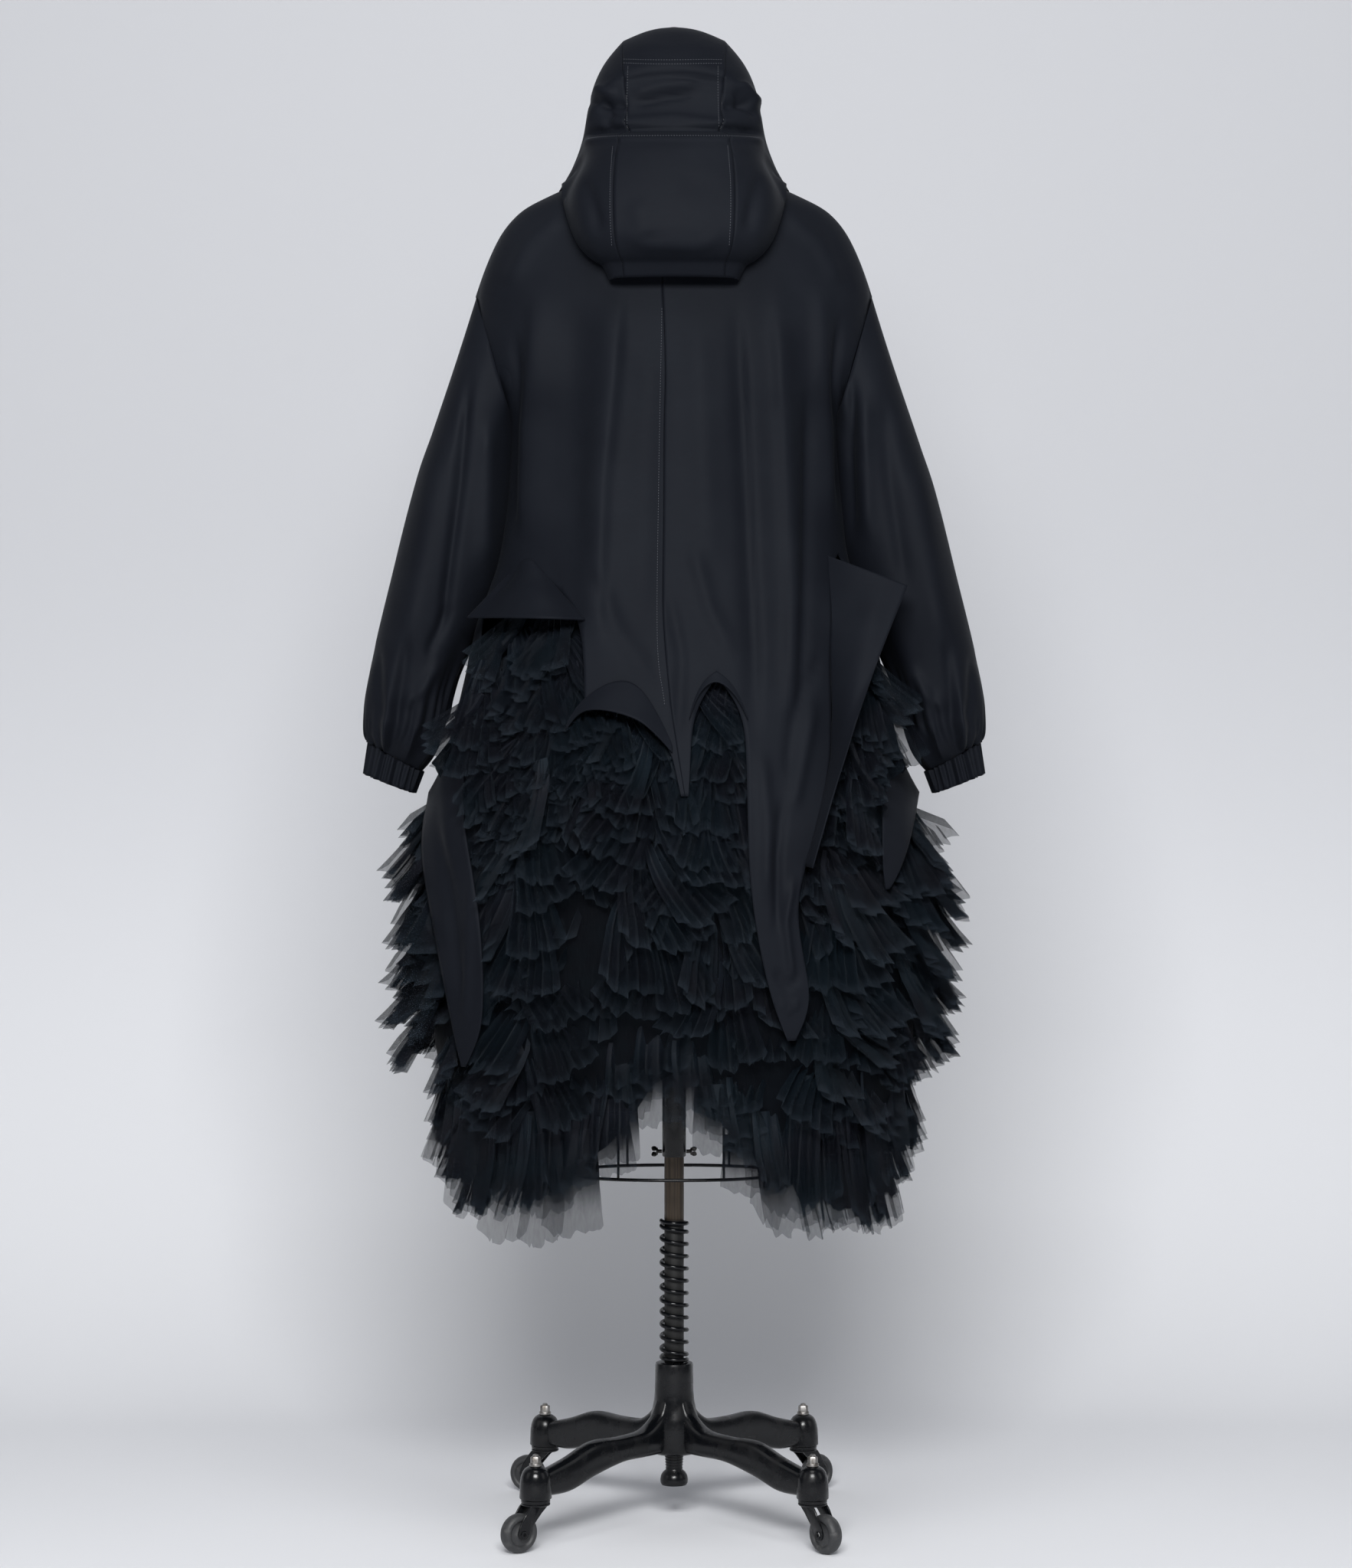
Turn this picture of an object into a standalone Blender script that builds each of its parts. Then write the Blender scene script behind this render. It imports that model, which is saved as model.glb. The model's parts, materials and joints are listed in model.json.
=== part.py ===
"""Ruffled coat on a limbless dress form with a cast-iron caster stand.

Metres, +Z up. +X is the wearer's right, +Y is the way the wearer faces, and the
origin lies on the floor under the pole. The coat's back faces -Y.
"""

import math
from collections import namedtuple

import bmesh
import bpy
import numpy as np

# ---------------------------------------------------------------- driving sizes
SEAM_GAP = 0.0004
LONGEST_MITRE = 2.2
COAT_WALL = 0.0016
NET_WALL = 0.0012
BODY_POWER = 2.3
LAID_ON = COAT_WALL + SEAM_GAP
FLAP_SEAM = LAID_ON + SEAM_GAP

CUFF_WAVES = 12
CUFF_RIPPLE = 0.0022
TIER_WAVES = 18
TIER_RIPPLE = 0.009
TIER_SEAT, TIER_TUCK = 0.0028, 0.0012
STEPS_PER_WAVE = 4

POLE_RADIUS = 0.01275
POLE_TOP, POLE_BOTTOM = 0.800, 0.100
TUBE_RADIUS, TUBE_BORE = 0.0155, 0.0131
TUBE_BOTTOM = 0.4785
SCREW_Z = 0.485
TORSO_BOTTOM = 0.950
NECK_TOP = 1.795
CROWN_TOP = 1.9565
HEAD_HALF_WIDTH, HEAD_HALF_DEPTH, HEAD_Y, HEAD_SEAT = 0.066, 0.075, 0.017, 0.0018
HEAD_LEVELS = [-53.0, -30.0, -8.0, 14.0, 36.0, 56.0, 74.0, 87.9]

RING_Z = 0.457
RING_HALF_WIDTH, RING_HALF_DEPTH = 0.1365, 0.0825
RING_WIRE, STAVE_WIRE = 0.0022, 0.0017

HUB_TOP, HUB_BOTTOM, HUB_BORE = 0.209, 0.090, 0.0132
SPRING_RADIUS, SPRING_WIRE, SPRING_TURNS, SPRING_TOP = 0.01675, 0.00275, 12.5, 0.397
CASTER_SPREAD = 0.175
WHEEL_RADIUS, WHEEL_WIDTH, WHEEL_SIDES = 0.025, 0.019, 16
WHEEL_BORE, AXLE_RADIUS = 0.0034, 0.0029
CASTER_TRAIL = 0.025
BELL_LOW, BELL_TOP = 0.066, 0.107

# ---------------------------------------------------------------- named tables
Section = namedtuple("Section", "z half_width back front")
# The coat's outer form, from the neckline down past the hem to the tips of the tails.
COAT = [
    Section(1.735, 0.1500, 0.085, 0.085),
    Section(1.722, 0.1780, 0.095, 0.095),
    Section(1.710, 0.2010, 0.103, 0.103),
    Section(1.690, 0.2190, 0.111, 0.111),
    Section(1.670, 0.2310, 0.117, 0.118),
    Section(1.635, 0.2460, 0.125, 0.128),
    Section(1.600, 0.2575, 0.131, 0.136),
    Section(1.520, 0.2580, 0.140, 0.146),
    Section(1.460, 0.2400, 0.148, 0.153),
    Section(1.437, 0.2085, 0.150, 0.155),
    Section(1.350, 0.2125, 0.160, 0.162),
    Section(1.300, 0.2145, 0.166, 0.165),
    Section(1.255, 0.2205, 0.175, 0.171),
    Section(1.225, 0.2285, 0.182, 0.176),
    Section(1.170, 0.2575, 0.195, 0.187),
    Section(1.100, 0.2800, 0.214, 0.203),
    Section(1.050, 0.2840, 0.228, 0.215),
    Section(1.010, 0.2890, 0.240, 0.226),
    Section(0.975, 0.3080, 0.250, 0.238),
    Section(0.940, 0.3300, 0.259, 0.247),
    Section(0.880, 0.3440, 0.266, 0.256),
    Section(0.780, 0.3480, 0.272, 0.262),
    Section(0.600, 0.3440, 0.272, 0.262),
]
# The net foundation that hangs inside the coat.
NET = [
    Section(1.255, 0.2176, 0.1721, 0.1681),
    Section(1.170, 0.2360, 0.1760, 0.1700),
    Section(1.100, 0.2560, 0.1900, 0.1820),
    Section(1.020, 0.2640, 0.2060, 0.2000),
    Section(0.950, 0.2850, 0.2210, 0.2140),
    Section(0.860, 0.3080, 0.2330, 0.2270),
    Section(0.750, 0.3220, 0.2430, 0.2360),
    Section(0.620, 0.3220, 0.2450, 0.2380),
    Section(0.500, 0.2860, 0.2320, 0.2260),
]
# The dress form, from its hip edge to the top of its neck.
TORSO = [
    Section(TORSO_BOTTOM, 0.150, 0.110, 0.110),
    Section(0.965, 0.158, 0.118, 0.115),
    Section(1.060, 0.166, 0.126, 0.118),
    Section(1.160, 0.145, 0.112, 0.108),
    Section(1.270, 0.118, 0.088, 0.096),
    Section(1.370, 0.133, 0.096, 0.112),
    Section(1.470, 0.152, 0.106, 0.130),
    Section(1.560, 0.172, 0.106, 0.112),
    Section(1.640, 0.192, 0.102, 0.096),
    Section(1.690, 0.206, 0.092, 0.082),
    Section(1.710, 0.1964, 0.080, 0.072),
    Section(1.722, 0.1728, 0.072, 0.066),
    Section(1.733, 0.1300, 0.064, 0.062),
    Section(1.745, 0.0780, 0.058, 0.058),
    Section(1.765, 0.0600, 0.056, 0.058),
    Section(NECK_TOP, 0.0570, 0.055, 0.057),
]

# Heights of the rows that every panel shares above the hips.
UPPER_ROWS = [1.735, 1.722, 1.710, 1.690, 1.670, 1.635, 1.600, 1.565, 1.520, 1.475, 1.437, 1.370]
Edge = namedtuple("Edge", "z x")
ARMHOLE_TOP, ARMHOLE_LOW = Edge(1.600, 0.2575), Edge(1.437, 0.2085)

# The lines of the back, from the centre seam out. A line has one point for each of
# the lower rows and stops at the cut edge of its opening. SIDE is the side seam.
SIDE = 1.0
Line = namedtuple("Line", "name ridge points")
BACK_LEFT = [
    Line("seam", 0.0, [(1.30, -0.013), (1.24, -0.014), (1.17, -0.0145), (1.06, -0.004),
                       (1.00, 0.006), (0.955, 0.0135)]),
    Line("tongue", 0.0, [(1.30, -0.036), (1.24, -0.034), (1.16, -0.030), (1.015, -0.004),
                         (0.985, 0.002), (0.955, 0.0085)]),
    Line("crescent_a", 0.0, [(1.30, -0.060), (1.24, -0.058), (1.16, -0.053), (1.060, -0.044)]),
    Line("crescent_b", 0.007, [(1.30, -0.090), (1.24, -0.088), (1.16, -0.086), (1.074, -0.084)]),
    Line("between", 0.0, [(1.30, -0.118), (1.24, -0.117), (1.174, -0.1140), (1.064, -0.1120)]),
    Line("awning_a", 0.0, [(1.30, -0.141), (1.255, -0.142), (1.212, -0.143)]),
    Line("awning_b", 0.0, [(1.30, -0.164), (1.265, -0.170), (1.238, -0.175)]),
    Line("awning_c", 0.0, [(1.30, -0.186), (1.258, -0.196), (1.218, -0.206)]),
    Line("tail_in", 0.0, [(1.30, -0.2020), (1.24, -0.2120), (1.182, -0.2400), (1.06, -0.2620),
                          (1.00, -0.2660), (0.955, -0.2680), (0.915, -0.2650), (0.868, -0.2560),
                          (0.813, -0.2450), (0.745, -0.2390), (0.695, -0.2380), (0.654, -0.2420),
                          (0.614, -0.2610)]),
    Line("tail_mid", 0.0, [(1.30, -0.2105), (1.24, -0.2190), (1.17, -0.2530), (1.06, -0.2780),
                           (1.00, -0.2850), (0.955, -0.3000), (0.915, -0.3010), (0.868, -0.2960),
                           (0.813, -0.2810), (0.745, -0.2680), (0.695, -0.2610), (0.654, -0.2590),
                           (0.614, -0.2640)]),
    Line("side", 0.0, [(1.30, -SIDE), (1.24, -SIDE), (1.17, -SIDE), (1.06, -SIDE), (1.00, -SIDE),
                       (0.955, -SIDE), (0.915, -0.3230), (0.868, -0.3225), (0.813, -0.3110),
                       (0.745, -0.2970), (0.695, -0.2860), (0.654, -0.2770), (0.614, -0.2665)]),
]
BACK_RIGHT = [
    Line("seam", 0.0, BACK_LEFT[0].points),
    Line("tongue", 0.0, [(1.30, 0.014), (1.24, 0.015), (1.17, 0.016), (1.060, 0.0225),
                         (1.00, 0.0205), (0.955, 0.0180)]),
    Line("arch", 0.0, [(1.30, 0.052), (1.25, 0.052), (1.19, 0.053), (1.104, 0.0535)]),
    Line("tail_left", 0.0, [(1.30, 0.088), (1.24, 0.088), (1.17, 0.088), (1.060, 0.0880),
                            (1.00, 0.0900), (0.955, 0.0910), (0.915, 0.0915), (0.868, 0.0925),
                            (0.813, 0.0980), (0.749, 0.1090), (0.695, 0.1230), (0.652, 0.1405)]),
    Line("tail_mid", 0.008, [(1.30, 0.134), (1.24, 0.135), (1.17, 0.136), (1.060, 0.1350),
                             (1.00, 0.1330), (0.955, 0.1310), (0.915, 0.1260), (0.868, 0.1200),
                             (0.813, 0.1220), (0.749, 0.1330), (0.695, 0.1440), (0.652, 0.1445)]),
    Line("tail_right", 0.0, [(1.30, 0.164), (1.24, 0.166), (1.17, 0.168), (1.060, 0.1700),
                             (1.00, 0.1680), (0.955, 0.1640), (0.915, 0.1550), (0.868, 0.1420),
                             (0.813, 0.1360), (0.749, 0.1480), (0.695, 0.1600), (0.652, 0.1475)]),
    Line("lapel_fold", 0.0, [(1.30, 0.190), (1.24, 0.193), (1.17, 0.196), (1.060, 0.1980),
                             (1.00, 0.1965), (0.955, 0.1880), (0.915, 0.1770), (0.868, 0.1630),
                             (0.813, 0.1500), (0.749, 0.1620), (0.695, 0.1720), (0.652, 0.1505)]),
    Line("gap", 0.0, [(1.30, 0.2000), (1.263, 0.2040)]),
    Line("point_in", 0.0, [(1.30, 0.2080), (1.24, 0.2160), (1.17, 0.2450), (1.06, 0.2640),
                           (1.00, 0.2650), (0.955, 0.2640), (0.915, 0.2620), (0.868, 0.2620),
                           (0.837, 0.2660)]),
    Line("point_mid", 0.0, [(1.30, 0.2125), (1.24, 0.2200), (1.17, 0.2530), (1.06, 0.2780),
                            (1.00, 0.2860), (0.955, 0.2960), (0.915, 0.2860), (0.868, 0.2770),
                            (0.837, 0.2690)]),
    Line("side", 0.0, [(1.30, SIDE), (1.24, SIDE), (1.17, SIDE), (1.06, SIDE), (1.00, SIDE),
                       (0.955, SIDE), (0.915, 0.3050), (0.868, 0.2900), (0.837, 0.2720)]),
]
FRONT_ROWS = [1.30, 1.24, 1.17, 1.06, 1.00, 0.955]
FRONT_ANGLES = [180.0, 173.0, 158.0, 143.0, 125.0, 107.0, 90.0]
FRONT_RIDGE = [0.0, 0.0, 0.0, 0.006, 0.0, 0.003, 0.0]

# Sleeve rings: where the outer and inner edges of the sleeve lie, seen from behind.
SleeveRing = namedtuple("SleeveRing", "out_x out_z in_x in_z half_depth shift gather")
SLEEVE = [
    SleeveRing(0.2885, 1.500, 0.2130, 1.400, 0.086, 0.000, 0.0),
    SleeveRing(0.3200, 1.410, 0.2165, 1.350, 0.088, 0.000, 0.0),
    SleeveRing(0.3490, 1.320, 0.2215, 1.280, 0.090, 0.002, 0.0),
    SleeveRing(0.3680, 1.240, 0.2370, 1.222, 0.092, 0.004, 0.0),
    SleeveRing(0.3890, 1.160, 0.2690, 1.158, 0.092, 0.006, 0.0),
    SleeveRing(0.4045, 1.085, 0.2905, 1.088, 0.090, 0.007, 0.001),
    SleeveRing(0.4045, 1.052, 0.2985, 1.040, 0.085, 0.007, 0.003),
    SleeveRing(0.4010, 1.030, 0.3120, 1.002, 0.072, 0.007, 0.005),
    SleeveRing(0.3975, 1.0205, 0.3290, 0.9825, 0.050, 0.007, 0.001),
]
SLEEVE_SIDES = 20
CUFF = [
    SleeveRing(0.39774, 1.02006, 0.32924, 0.98206, 0.050, 0.007, 1.0),
    SleeveRing(0.4040, 0.9790, 0.3400, 0.9540, 0.050, 0.007, 1.0),
]

# Hood rows from the face opening over the crown and the hanging pouch to the neck seam.
# mid: the row's centre line. wide: its widest point. neck: where it meets the neckline.
HoodRow = namedtuple("HoodRow", "name mid_y mid_z wide_x wide_y wide_z neck lift gusset boxy")
HOOD = [
    HoodRow("face", 0.112, 1.915, 0.0920, 0.105, 1.820, 165, 0.000, 0.060, 2.3),
    HoodRow("brow", 0.085, 1.941, 0.1030, 0.080, 1.820, 148, 0.000, 0.062, 2.3),
    HoodRow("crown", 0.020, 1.9565, 0.1125, 0.020, 1.815, 128, 0.000, 0.065, 2.3),
    HoodRow("back", -0.045, 1.944, 0.1155, -0.025, 1.810, 114, 0.000, 0.067, 2.3),
    HoodRow("cross_seam", -0.100, 1.882, 0.1165, -0.045, 1.800, 106, 0.000, 0.066, 2.5),
    HoodRow("pinch", -0.092, 1.845, 0.1170, -0.050, 1.790, 100, 0.000, 0.060, 2.6),
    HoodRow("hollow", -0.110, 1.805, 0.1170, -0.056, 1.783, 94, 0.000, 0.060, 2.6),
    HoodRow("ridge", -0.160, 1.781, 0.1180, -0.070, 1.777, 88, 0.003, 0.070, 2.6),
    HoodRow("under_ridge", -0.176, 1.765, 0.1140, -0.080, 1.757, 82, 0.006, 0.074, 2.6),
    HoodRow("corner", -0.196, 1.722, 0.1435, -0.095, 1.712, 75, 0.033, 0.077, 2.8),
    HoodRow("pouch", -0.207, 1.672, 0.1300, -0.130, 1.662, 67, 0.038, 0.076, 3.0),
    HoodRow("low", -0.203, 1.622, 0.1060, -0.145, 1.616, 60, 0.070, 0.073, 3.0),
    HoodRow("fold", -0.180, 1.589, 0.0900, -0.152, 1.587, 54, 0.085, 0.070, 3.0),
    HoodRow("under", -0.150, 1.600, 0.0860, -0.146, 1.603, 49, 0.068, 0.066, 3.0),
    HoodRow("inner", -0.142, 1.660, 0.0960, -0.136, 1.664, 45, 0.036, 0.064, 3.0),
    HoodRow("nape", -0.119, 1.714, 0.1040, -0.110, 1.718, 41, 0.014, 0.062, 3.0),
]
HOOD_REST, SHOULDER_LOW, HALVINGS = 0.0045, 1.550, 12
HOOD_NECK = 1.7356
HOOD_INSIDE = (0.0, 0.0, 1.80)

AXIS = (0.0, 0.0, 1.0)
# The turned-out flaps of the back.
AWNING_APEX = (-0.1870, 1.262)
AWNING_LEFT, AWNING_RIGHT = (-0.2640, 1.180), (-0.1110, 1.1755)
AWNING_REACH, AWNING_LEAN = 0.050, 0.020
FlapEdge = namedtuple("FlapEdge", "x top low")
CRESCENT = [
    FlapEdge(-0.1350, 1.0440, 1.0380), FlapEdge(-0.1200, 1.0700, 1.0600),
    FlapEdge(-0.1010, 1.0860, 1.0640), FlapEdge(-0.0810, 1.0970, 1.0620),
    FlapEdge(-0.0590, 1.1010, 1.0560), FlapEdge(-0.0390, 1.0890, 1.0480),
    FlapEdge(-0.0190, 1.0560, 1.0290), FlapEdge(-0.0020, 1.0200, 1.0090),
]
ARCH_RIM = [
    FlapEdge(0.0185, 1.0540, 1.0500), FlapEdge(0.0270, 1.0830, 1.0770),
    FlapEdge(0.0380, 1.1010, 1.0930), FlapEdge(0.0530, 1.1110, 1.1000),
    FlapEdge(0.0690, 1.1000, 1.0900), FlapEdge(0.0820, 1.0800, 1.0730),
    FlapEdge(0.0920, 1.0540, 1.0500),
]
LapelRow = namedtuple("LapelRow", "fold_z free_x free_y free_z")
LAPEL = [
    LapelRow(1.2600, 0.2950, -0.1400, 1.2190),
    LapelRow(1.2400, 0.2873, -0.1493, 1.2010),
    LapelRow(1.1700, 0.2585, -0.1845, 1.1346),
    LapelRow(1.0600, 0.2225, -0.2293, 1.0398),
    LapelRow(1.0000, 0.2077, -0.2436, 0.9902),
    LapelRow(0.9550, 0.1957, -0.2530, 0.9500),
    LapelRow(0.9150, 0.1845, -0.2610, 0.9120),
    LapelRow(0.8680, 0.1711, -0.2706, 0.8665),
]
LAPEL_COLUMNS, LAPEL_BOW, LAPEL_SEAT = 4, 0.10, 0.0011

# Net strips that pour from the openings, laid on the net foundation. Angles are from the
# back centre, in degrees: first to last is the strip, open_first to open_last its free part.
Cascade = namedtuple("Cascade", "name first open_first open_last last top fans waves reach")
CASCADES = [
    Cascade("cascade_left", -68.0, -61.0, -26.0, -21.0, 1.200, 4, 4, 0.042),
    Cascade("cascade_mid_left", -20.0, -16.0, -4.5, -1.0, 1.075, 2, 3, 0.040),
    Cascade("cascade_mid_right", 0.0, 5.0, 12.5, 17.0, 1.090, 2, 2, 0.036),
    Cascade("cascade_right", 37.0, 46.0, 60.0, 67.0, 1.170, 3, 3, 0.040),
]
CASCADE_LOW, CASCADE_HIDDEN, CASCADE_FOLD = 0.992, 0.014, 0.30
# Gathered net tiers all round. Each hangs from its own seam down to its hem.
Tier = namedtuple("Tier", "top hem half_width back front")
TIERS = [
    Tier(0.985, 0.875, 0.3650, 0.2760, 0.2680),
    Tier(0.900, 0.785, 0.3790, 0.2880, 0.2800),
    Tier(0.810, 0.700, 0.3770, 0.2920, 0.2840),
    Tier(0.730, 0.612, 0.3760, 0.2900, 0.2840),
    Tier(0.640, 0.505, 0.3480, 0.2820, 0.2780),
    Tier(0.560, 0.000, 0.2990, 0.2640, 0.2600),
]
# The lowest hem rises in the middle and at the sides.
LowHem = namedtuple("LowHem", "x z")
LOW_HEM = [LowHem(0.00, 0.500), LowHem(0.05, 0.480), LowHem(0.10, 0.432), LowHem(0.17, 0.405),
           LowHem(0.22, 0.378), LowHem(0.275, 0.376), LowHem(0.2985, 0.440)]
# Where a tail presses the net flat: angles from the back centre, in degrees.
Press = namedtuple("Press", "first last tiers")
PRESSES = [Press(-82.0, -28.0, 4), Press(4.0, 42.0, 4), Press(36.0, 82.0, 2)]
PRESSED, PRESS_FADE, PRESS_BELOW = 0.014, 9.0, 0.60

# Wires of the cage: x and the side of the ring they stand on (+1 front, -1 back).
Stave = namedtuple("Stave", "x side")
STAVES = [Stave(-0.1365, 1), Stave(0.1365, 1), Stave(-0.118, -1), Stave(-0.072, -1),
          Stave(0.064, -1), Stave(0.116, -1), Stave(-0.062, 1), Stave(0.073, 1)]

LegStation = namedtuple("LegStation", "reach top low half_width")
LEG = [
    LegStation(0.0190, 0.172, 0.0925, 0.0110),
    LegStation(0.0360, 0.142, 0.0925, 0.0125),
    LegStation(0.0600, 0.127, 0.0925, 0.0130),
    LegStation(0.1000, 0.124, 0.0915, 0.0125),
    LegStation(0.1500, 0.1245, 0.0806, 0.0120),
    LegStation(0.1950, 0.110, 0.0675, 0.0115),
    LegStation(0.2475, 0.096, 0.0680, 0.0110),
]
Turned = namedtuple("Turned", "radius z")
HUB = [Turned(HUB_BORE, HUB_TOP), Turned(0.0225, HUB_TOP), Turned(0.0248, 0.2055),
       Turned(0.0252, 0.172), Turned(0.0285, 0.148), Turned(0.0330, 0.132),
       Turned(0.0330, 0.098), Turned(0.0270, HUB_BOTTOM), Turned(HUB_BORE, HUB_BOTTOM)]
BELL = [Turned(0.0, BELL_TOP), Turned(0.0090, BELL_TOP), Turned(0.0160, 0.1015),
        Turned(0.0198, 0.0880), Turned(0.0205, BELL_LOW), Turned(0.0, BELL_LOW)]
FOOT = [Turned(0.0, 0.0997), Turned(0.0124, 0.0997), Turned(0.0106, 0.068),
        Turned(0.0150, 0.0640), Turned(0.0182, 0.0550), Turned(0.0165, 0.0480), Turned(0.0, 0.0480)]
BOLT = [Turned(0.0, 0.1220), Turned(0.0040, 0.1220), Turned(0.0066, 0.1190),
        Turned(0.0066, 0.1110), Turned(0.0080, 0.1105), Turned(0.0080, BELL_TOP + 0.0003),
        Turned(0.0, BELL_TOP + 0.0003)]
SCREW = [Turned(0.0, 0.0300), Turned(0.0050, 0.0300), Turned(0.0070, 0.0270),
         Turned(0.0070, 0.0235), Turned(0.0030, 0.0215), Turned(0.0024, 0.0159), Turned(0.0, 0.0159)]
Caster = namedtuple("Caster", "name x y heading")
CASTERS = [
    Caster("back_left", -CASTER_SPREAD, -CASTER_SPREAD, 214.0),
    Caster("back_right", CASTER_SPREAD, -CASTER_SPREAD, 309.0),
    Caster("front_left", -CASTER_SPREAD, CASTER_SPREAD, 160.0),
    Caster("front_right", CASTER_SPREAD, CASTER_SPREAD, 40.0),
]

Finish = namedtuple("Finish", "colour roughness metallic")
GABARDINE = Finish((0.016, 0.018, 0.024), 0.62, 0.0)
TULLE = Finish((0.010, 0.014, 0.020), 0.80, 0.0)
COVER = Finish((0.045, 0.045, 0.047), 0.70, 0.0)
IRON = Finish((0.014, 0.015, 0.016), 0.35, 1.0)
STEEL = Finish((0.45, 0.44, 0.42), 0.30, 1.0)
WOOD = Finish((0.110, 0.085, 0.065), 0.55, 0.0)
RUBBER = Finish((0.020, 0.020, 0.021), 0.55, 0.0)


# ---------------------------------------------------------------- shared shaping
def read(table, z, column):
    """One column of a table of sections, read at height z."""
    rows = sorted(table, key=lambda row: row.z)
    return float(np.interp(z, [row.z for row in rows], [getattr(row, column) for row in rows]))


def section_point(table, z, angle, out=0.0):
    """A point of a section. Angle 0 is the back centre and 90 the right side, in degrees."""
    turn = math.radians(angle)
    half_width = read(table, z, "half_width") + out
    depth = read(table, z, "back" if math.cos(turn) >= 0 else "front") + out
    power = 2.0 / BODY_POWER
    x = half_width * math.copysign(abs(math.sin(turn)) ** power, math.sin(turn))
    y = -depth * math.copysign(abs(math.cos(turn)) ** power, math.cos(turn))
    return np.array([x, y, z])


def section_normal(table, z, angle):
    """The outward direction of the form at a point of a section."""
    step_up, step_round = 0.004, 1.5
    along = section_point(table, z, angle + step_round) - section_point(table, z, angle - step_round)
    up = section_point(table, z + step_up, angle) - section_point(table, z - step_up, angle)
    normal = np.cross(along, up)
    return normal / np.linalg.norm(normal)


def angle_at(table, z, x):
    """The angle of the point that has this x on the back of a section."""
    ratio = min(1.0, abs(x) / read(table, z, "half_width"))
    return math.copysign(math.degrees(math.asin(ratio ** (BODY_POWER / 2.0))), x)


def back_y(x, z, clear):
    """How far back the coat's back lies at x and z, with a clearance outside it."""
    half_width = read(COAT, z, "half_width")
    ratio = min(0.93, abs(x) / half_width)
    lean = -section_normal(COAT, z, angle_at(COAT, z, ratio * half_width))[1]
    depth = read(COAT, z, "back") * (1.0 - ratio ** BODY_POWER) ** (1.0 / BODY_POWER)
    return -depth - clear / lean


def finish_material(name, finish):
    """A plain material for one piece."""
    made = bpy.data.materials.new(name)
    made.use_nodes = True
    shader = made.node_tree.nodes["Principled BSDF"]
    shader.inputs["Base Color"].default_value = (*finish.colour, 1.0)
    shader.inputs["Roughness"].default_value = finish.roughness
    shader.inputs["Metallic"].default_value = finish.metallic
    return made


def add_piece(name, points, faces, finish):
    """One named object from points and faces, with its faces turned outward."""
    mesh = bpy.data.meshes.new(name)
    mesh.from_pydata([tuple(map(float, point)) for point in points], [], faces)
    build = bmesh.new()
    build.from_mesh(mesh)
    if build.calc_volume(signed=True) < 0.0:
        bmesh.ops.reverse_faces(build, faces=build.faces[:])
    build.to_mesh(mesh)
    build.free()
    mesh.materials.append(finish_material(name, finish))
    mesh.shade_smooth()
    mesh.set_sharp_from_angle(angle=math.radians(40.0))
    piece = bpy.data.objects.new(name, mesh)
    bpy.context.scene.collection.objects.link(piece)
    return piece


def cell_triangles(grid, row, cell):
    """The two triangles of a cell, as grid indices, split on its shorter diagonal."""
    after = (cell + 1) % grid.shape[1]
    a, b, c, d = (row, cell), (row + 1, cell), (row + 1, after), (row, after)
    if np.linalg.norm(grid[a] - grid[c]) <= np.linalg.norm(grid[b] - grid[d]):
        return [(a, b, c), (a, c, d)]
    return [(a, b, d), (b, c, d)]


def even_ways(grid, inside, closed=False):
    """For each point, the way out that moves every face beside it by one unit.

    inside is a point, or one point for each row, that lies on the inner side.
    """
    rows, columns = grid.shape[:2]
    beside = {}
    for row in range(rows - 1):
        for cell in range(columns if closed else columns - 1):
            for corners in cell_triangles(grid, row, cell):
                first, second, third = (grid[corner] for corner in corners)
                normal = np.cross(second - first, third - first)
                for corner in corners:
                    beside.setdefault(corner, []).append(normal / np.linalg.norm(normal))
    ways = np.zeros_like(grid)
    for corner, normals in beside.items():
        way = np.linalg.pinv(np.array(normals), rcond=0.35) @ np.ones(len(normals))
        ways[corner] = way * min(1.0, LONGEST_MITRE / np.linalg.norm(way))
    return ways * np.sign((ways * (grid - inside)).sum())


def flatten_to_plane(normals, plane):
    """Directions laid into the plane at right angles to a given one."""
    plane = np.asarray(plane) / np.linalg.norm(plane)
    flat = normals - np.outer(normals @ plane, plane)
    return flat / np.linalg.norm(flat, axis=1, keepdims=True)


def cloth_wall(name, grid, outward, wall, finish, keep=None, closed=False):
    """A closed cloth wall: the grid is its outer face and the inner face lies a wall inside.

    keep says which cells are cloth, and closed joins the last column to the first.
    """
    rows, columns = grid.shape[:2]
    cells = columns if closed else columns - 1
    if keep is None:
        keep = np.ones((rows - 1, cells), bool)
    points = np.concatenate([grid.reshape(-1, 3), (grid - outward * wall).reshape(-1, 3)])
    inside = rows * columns
    faces, used = [], {}
    for row, cell in zip(*np.nonzero(keep)):
        for corners in cell_triangles(grid, int(row), int(cell)):
            ring = [at_row * columns + at_column for at_row, at_column in corners]
            faces.append(ring)
            faces.append([corner + inside for corner in reversed(ring)])
            for start, end in zip(ring, ring[1:] + ring[:1]):
                used[(start, end)] = True
    for start, end in used:
        if (end, start) not in used:
            faces.append([end, start, start + inside, end + inside])
    kept = sorted({corner for face in faces for corner in face})
    renumber = {old: new for new, old in enumerate(kept)}
    faces = [[renumber[corner] for corner in face] for face in faces]
    return add_piece(name, points[kept], faces, finish)


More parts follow.
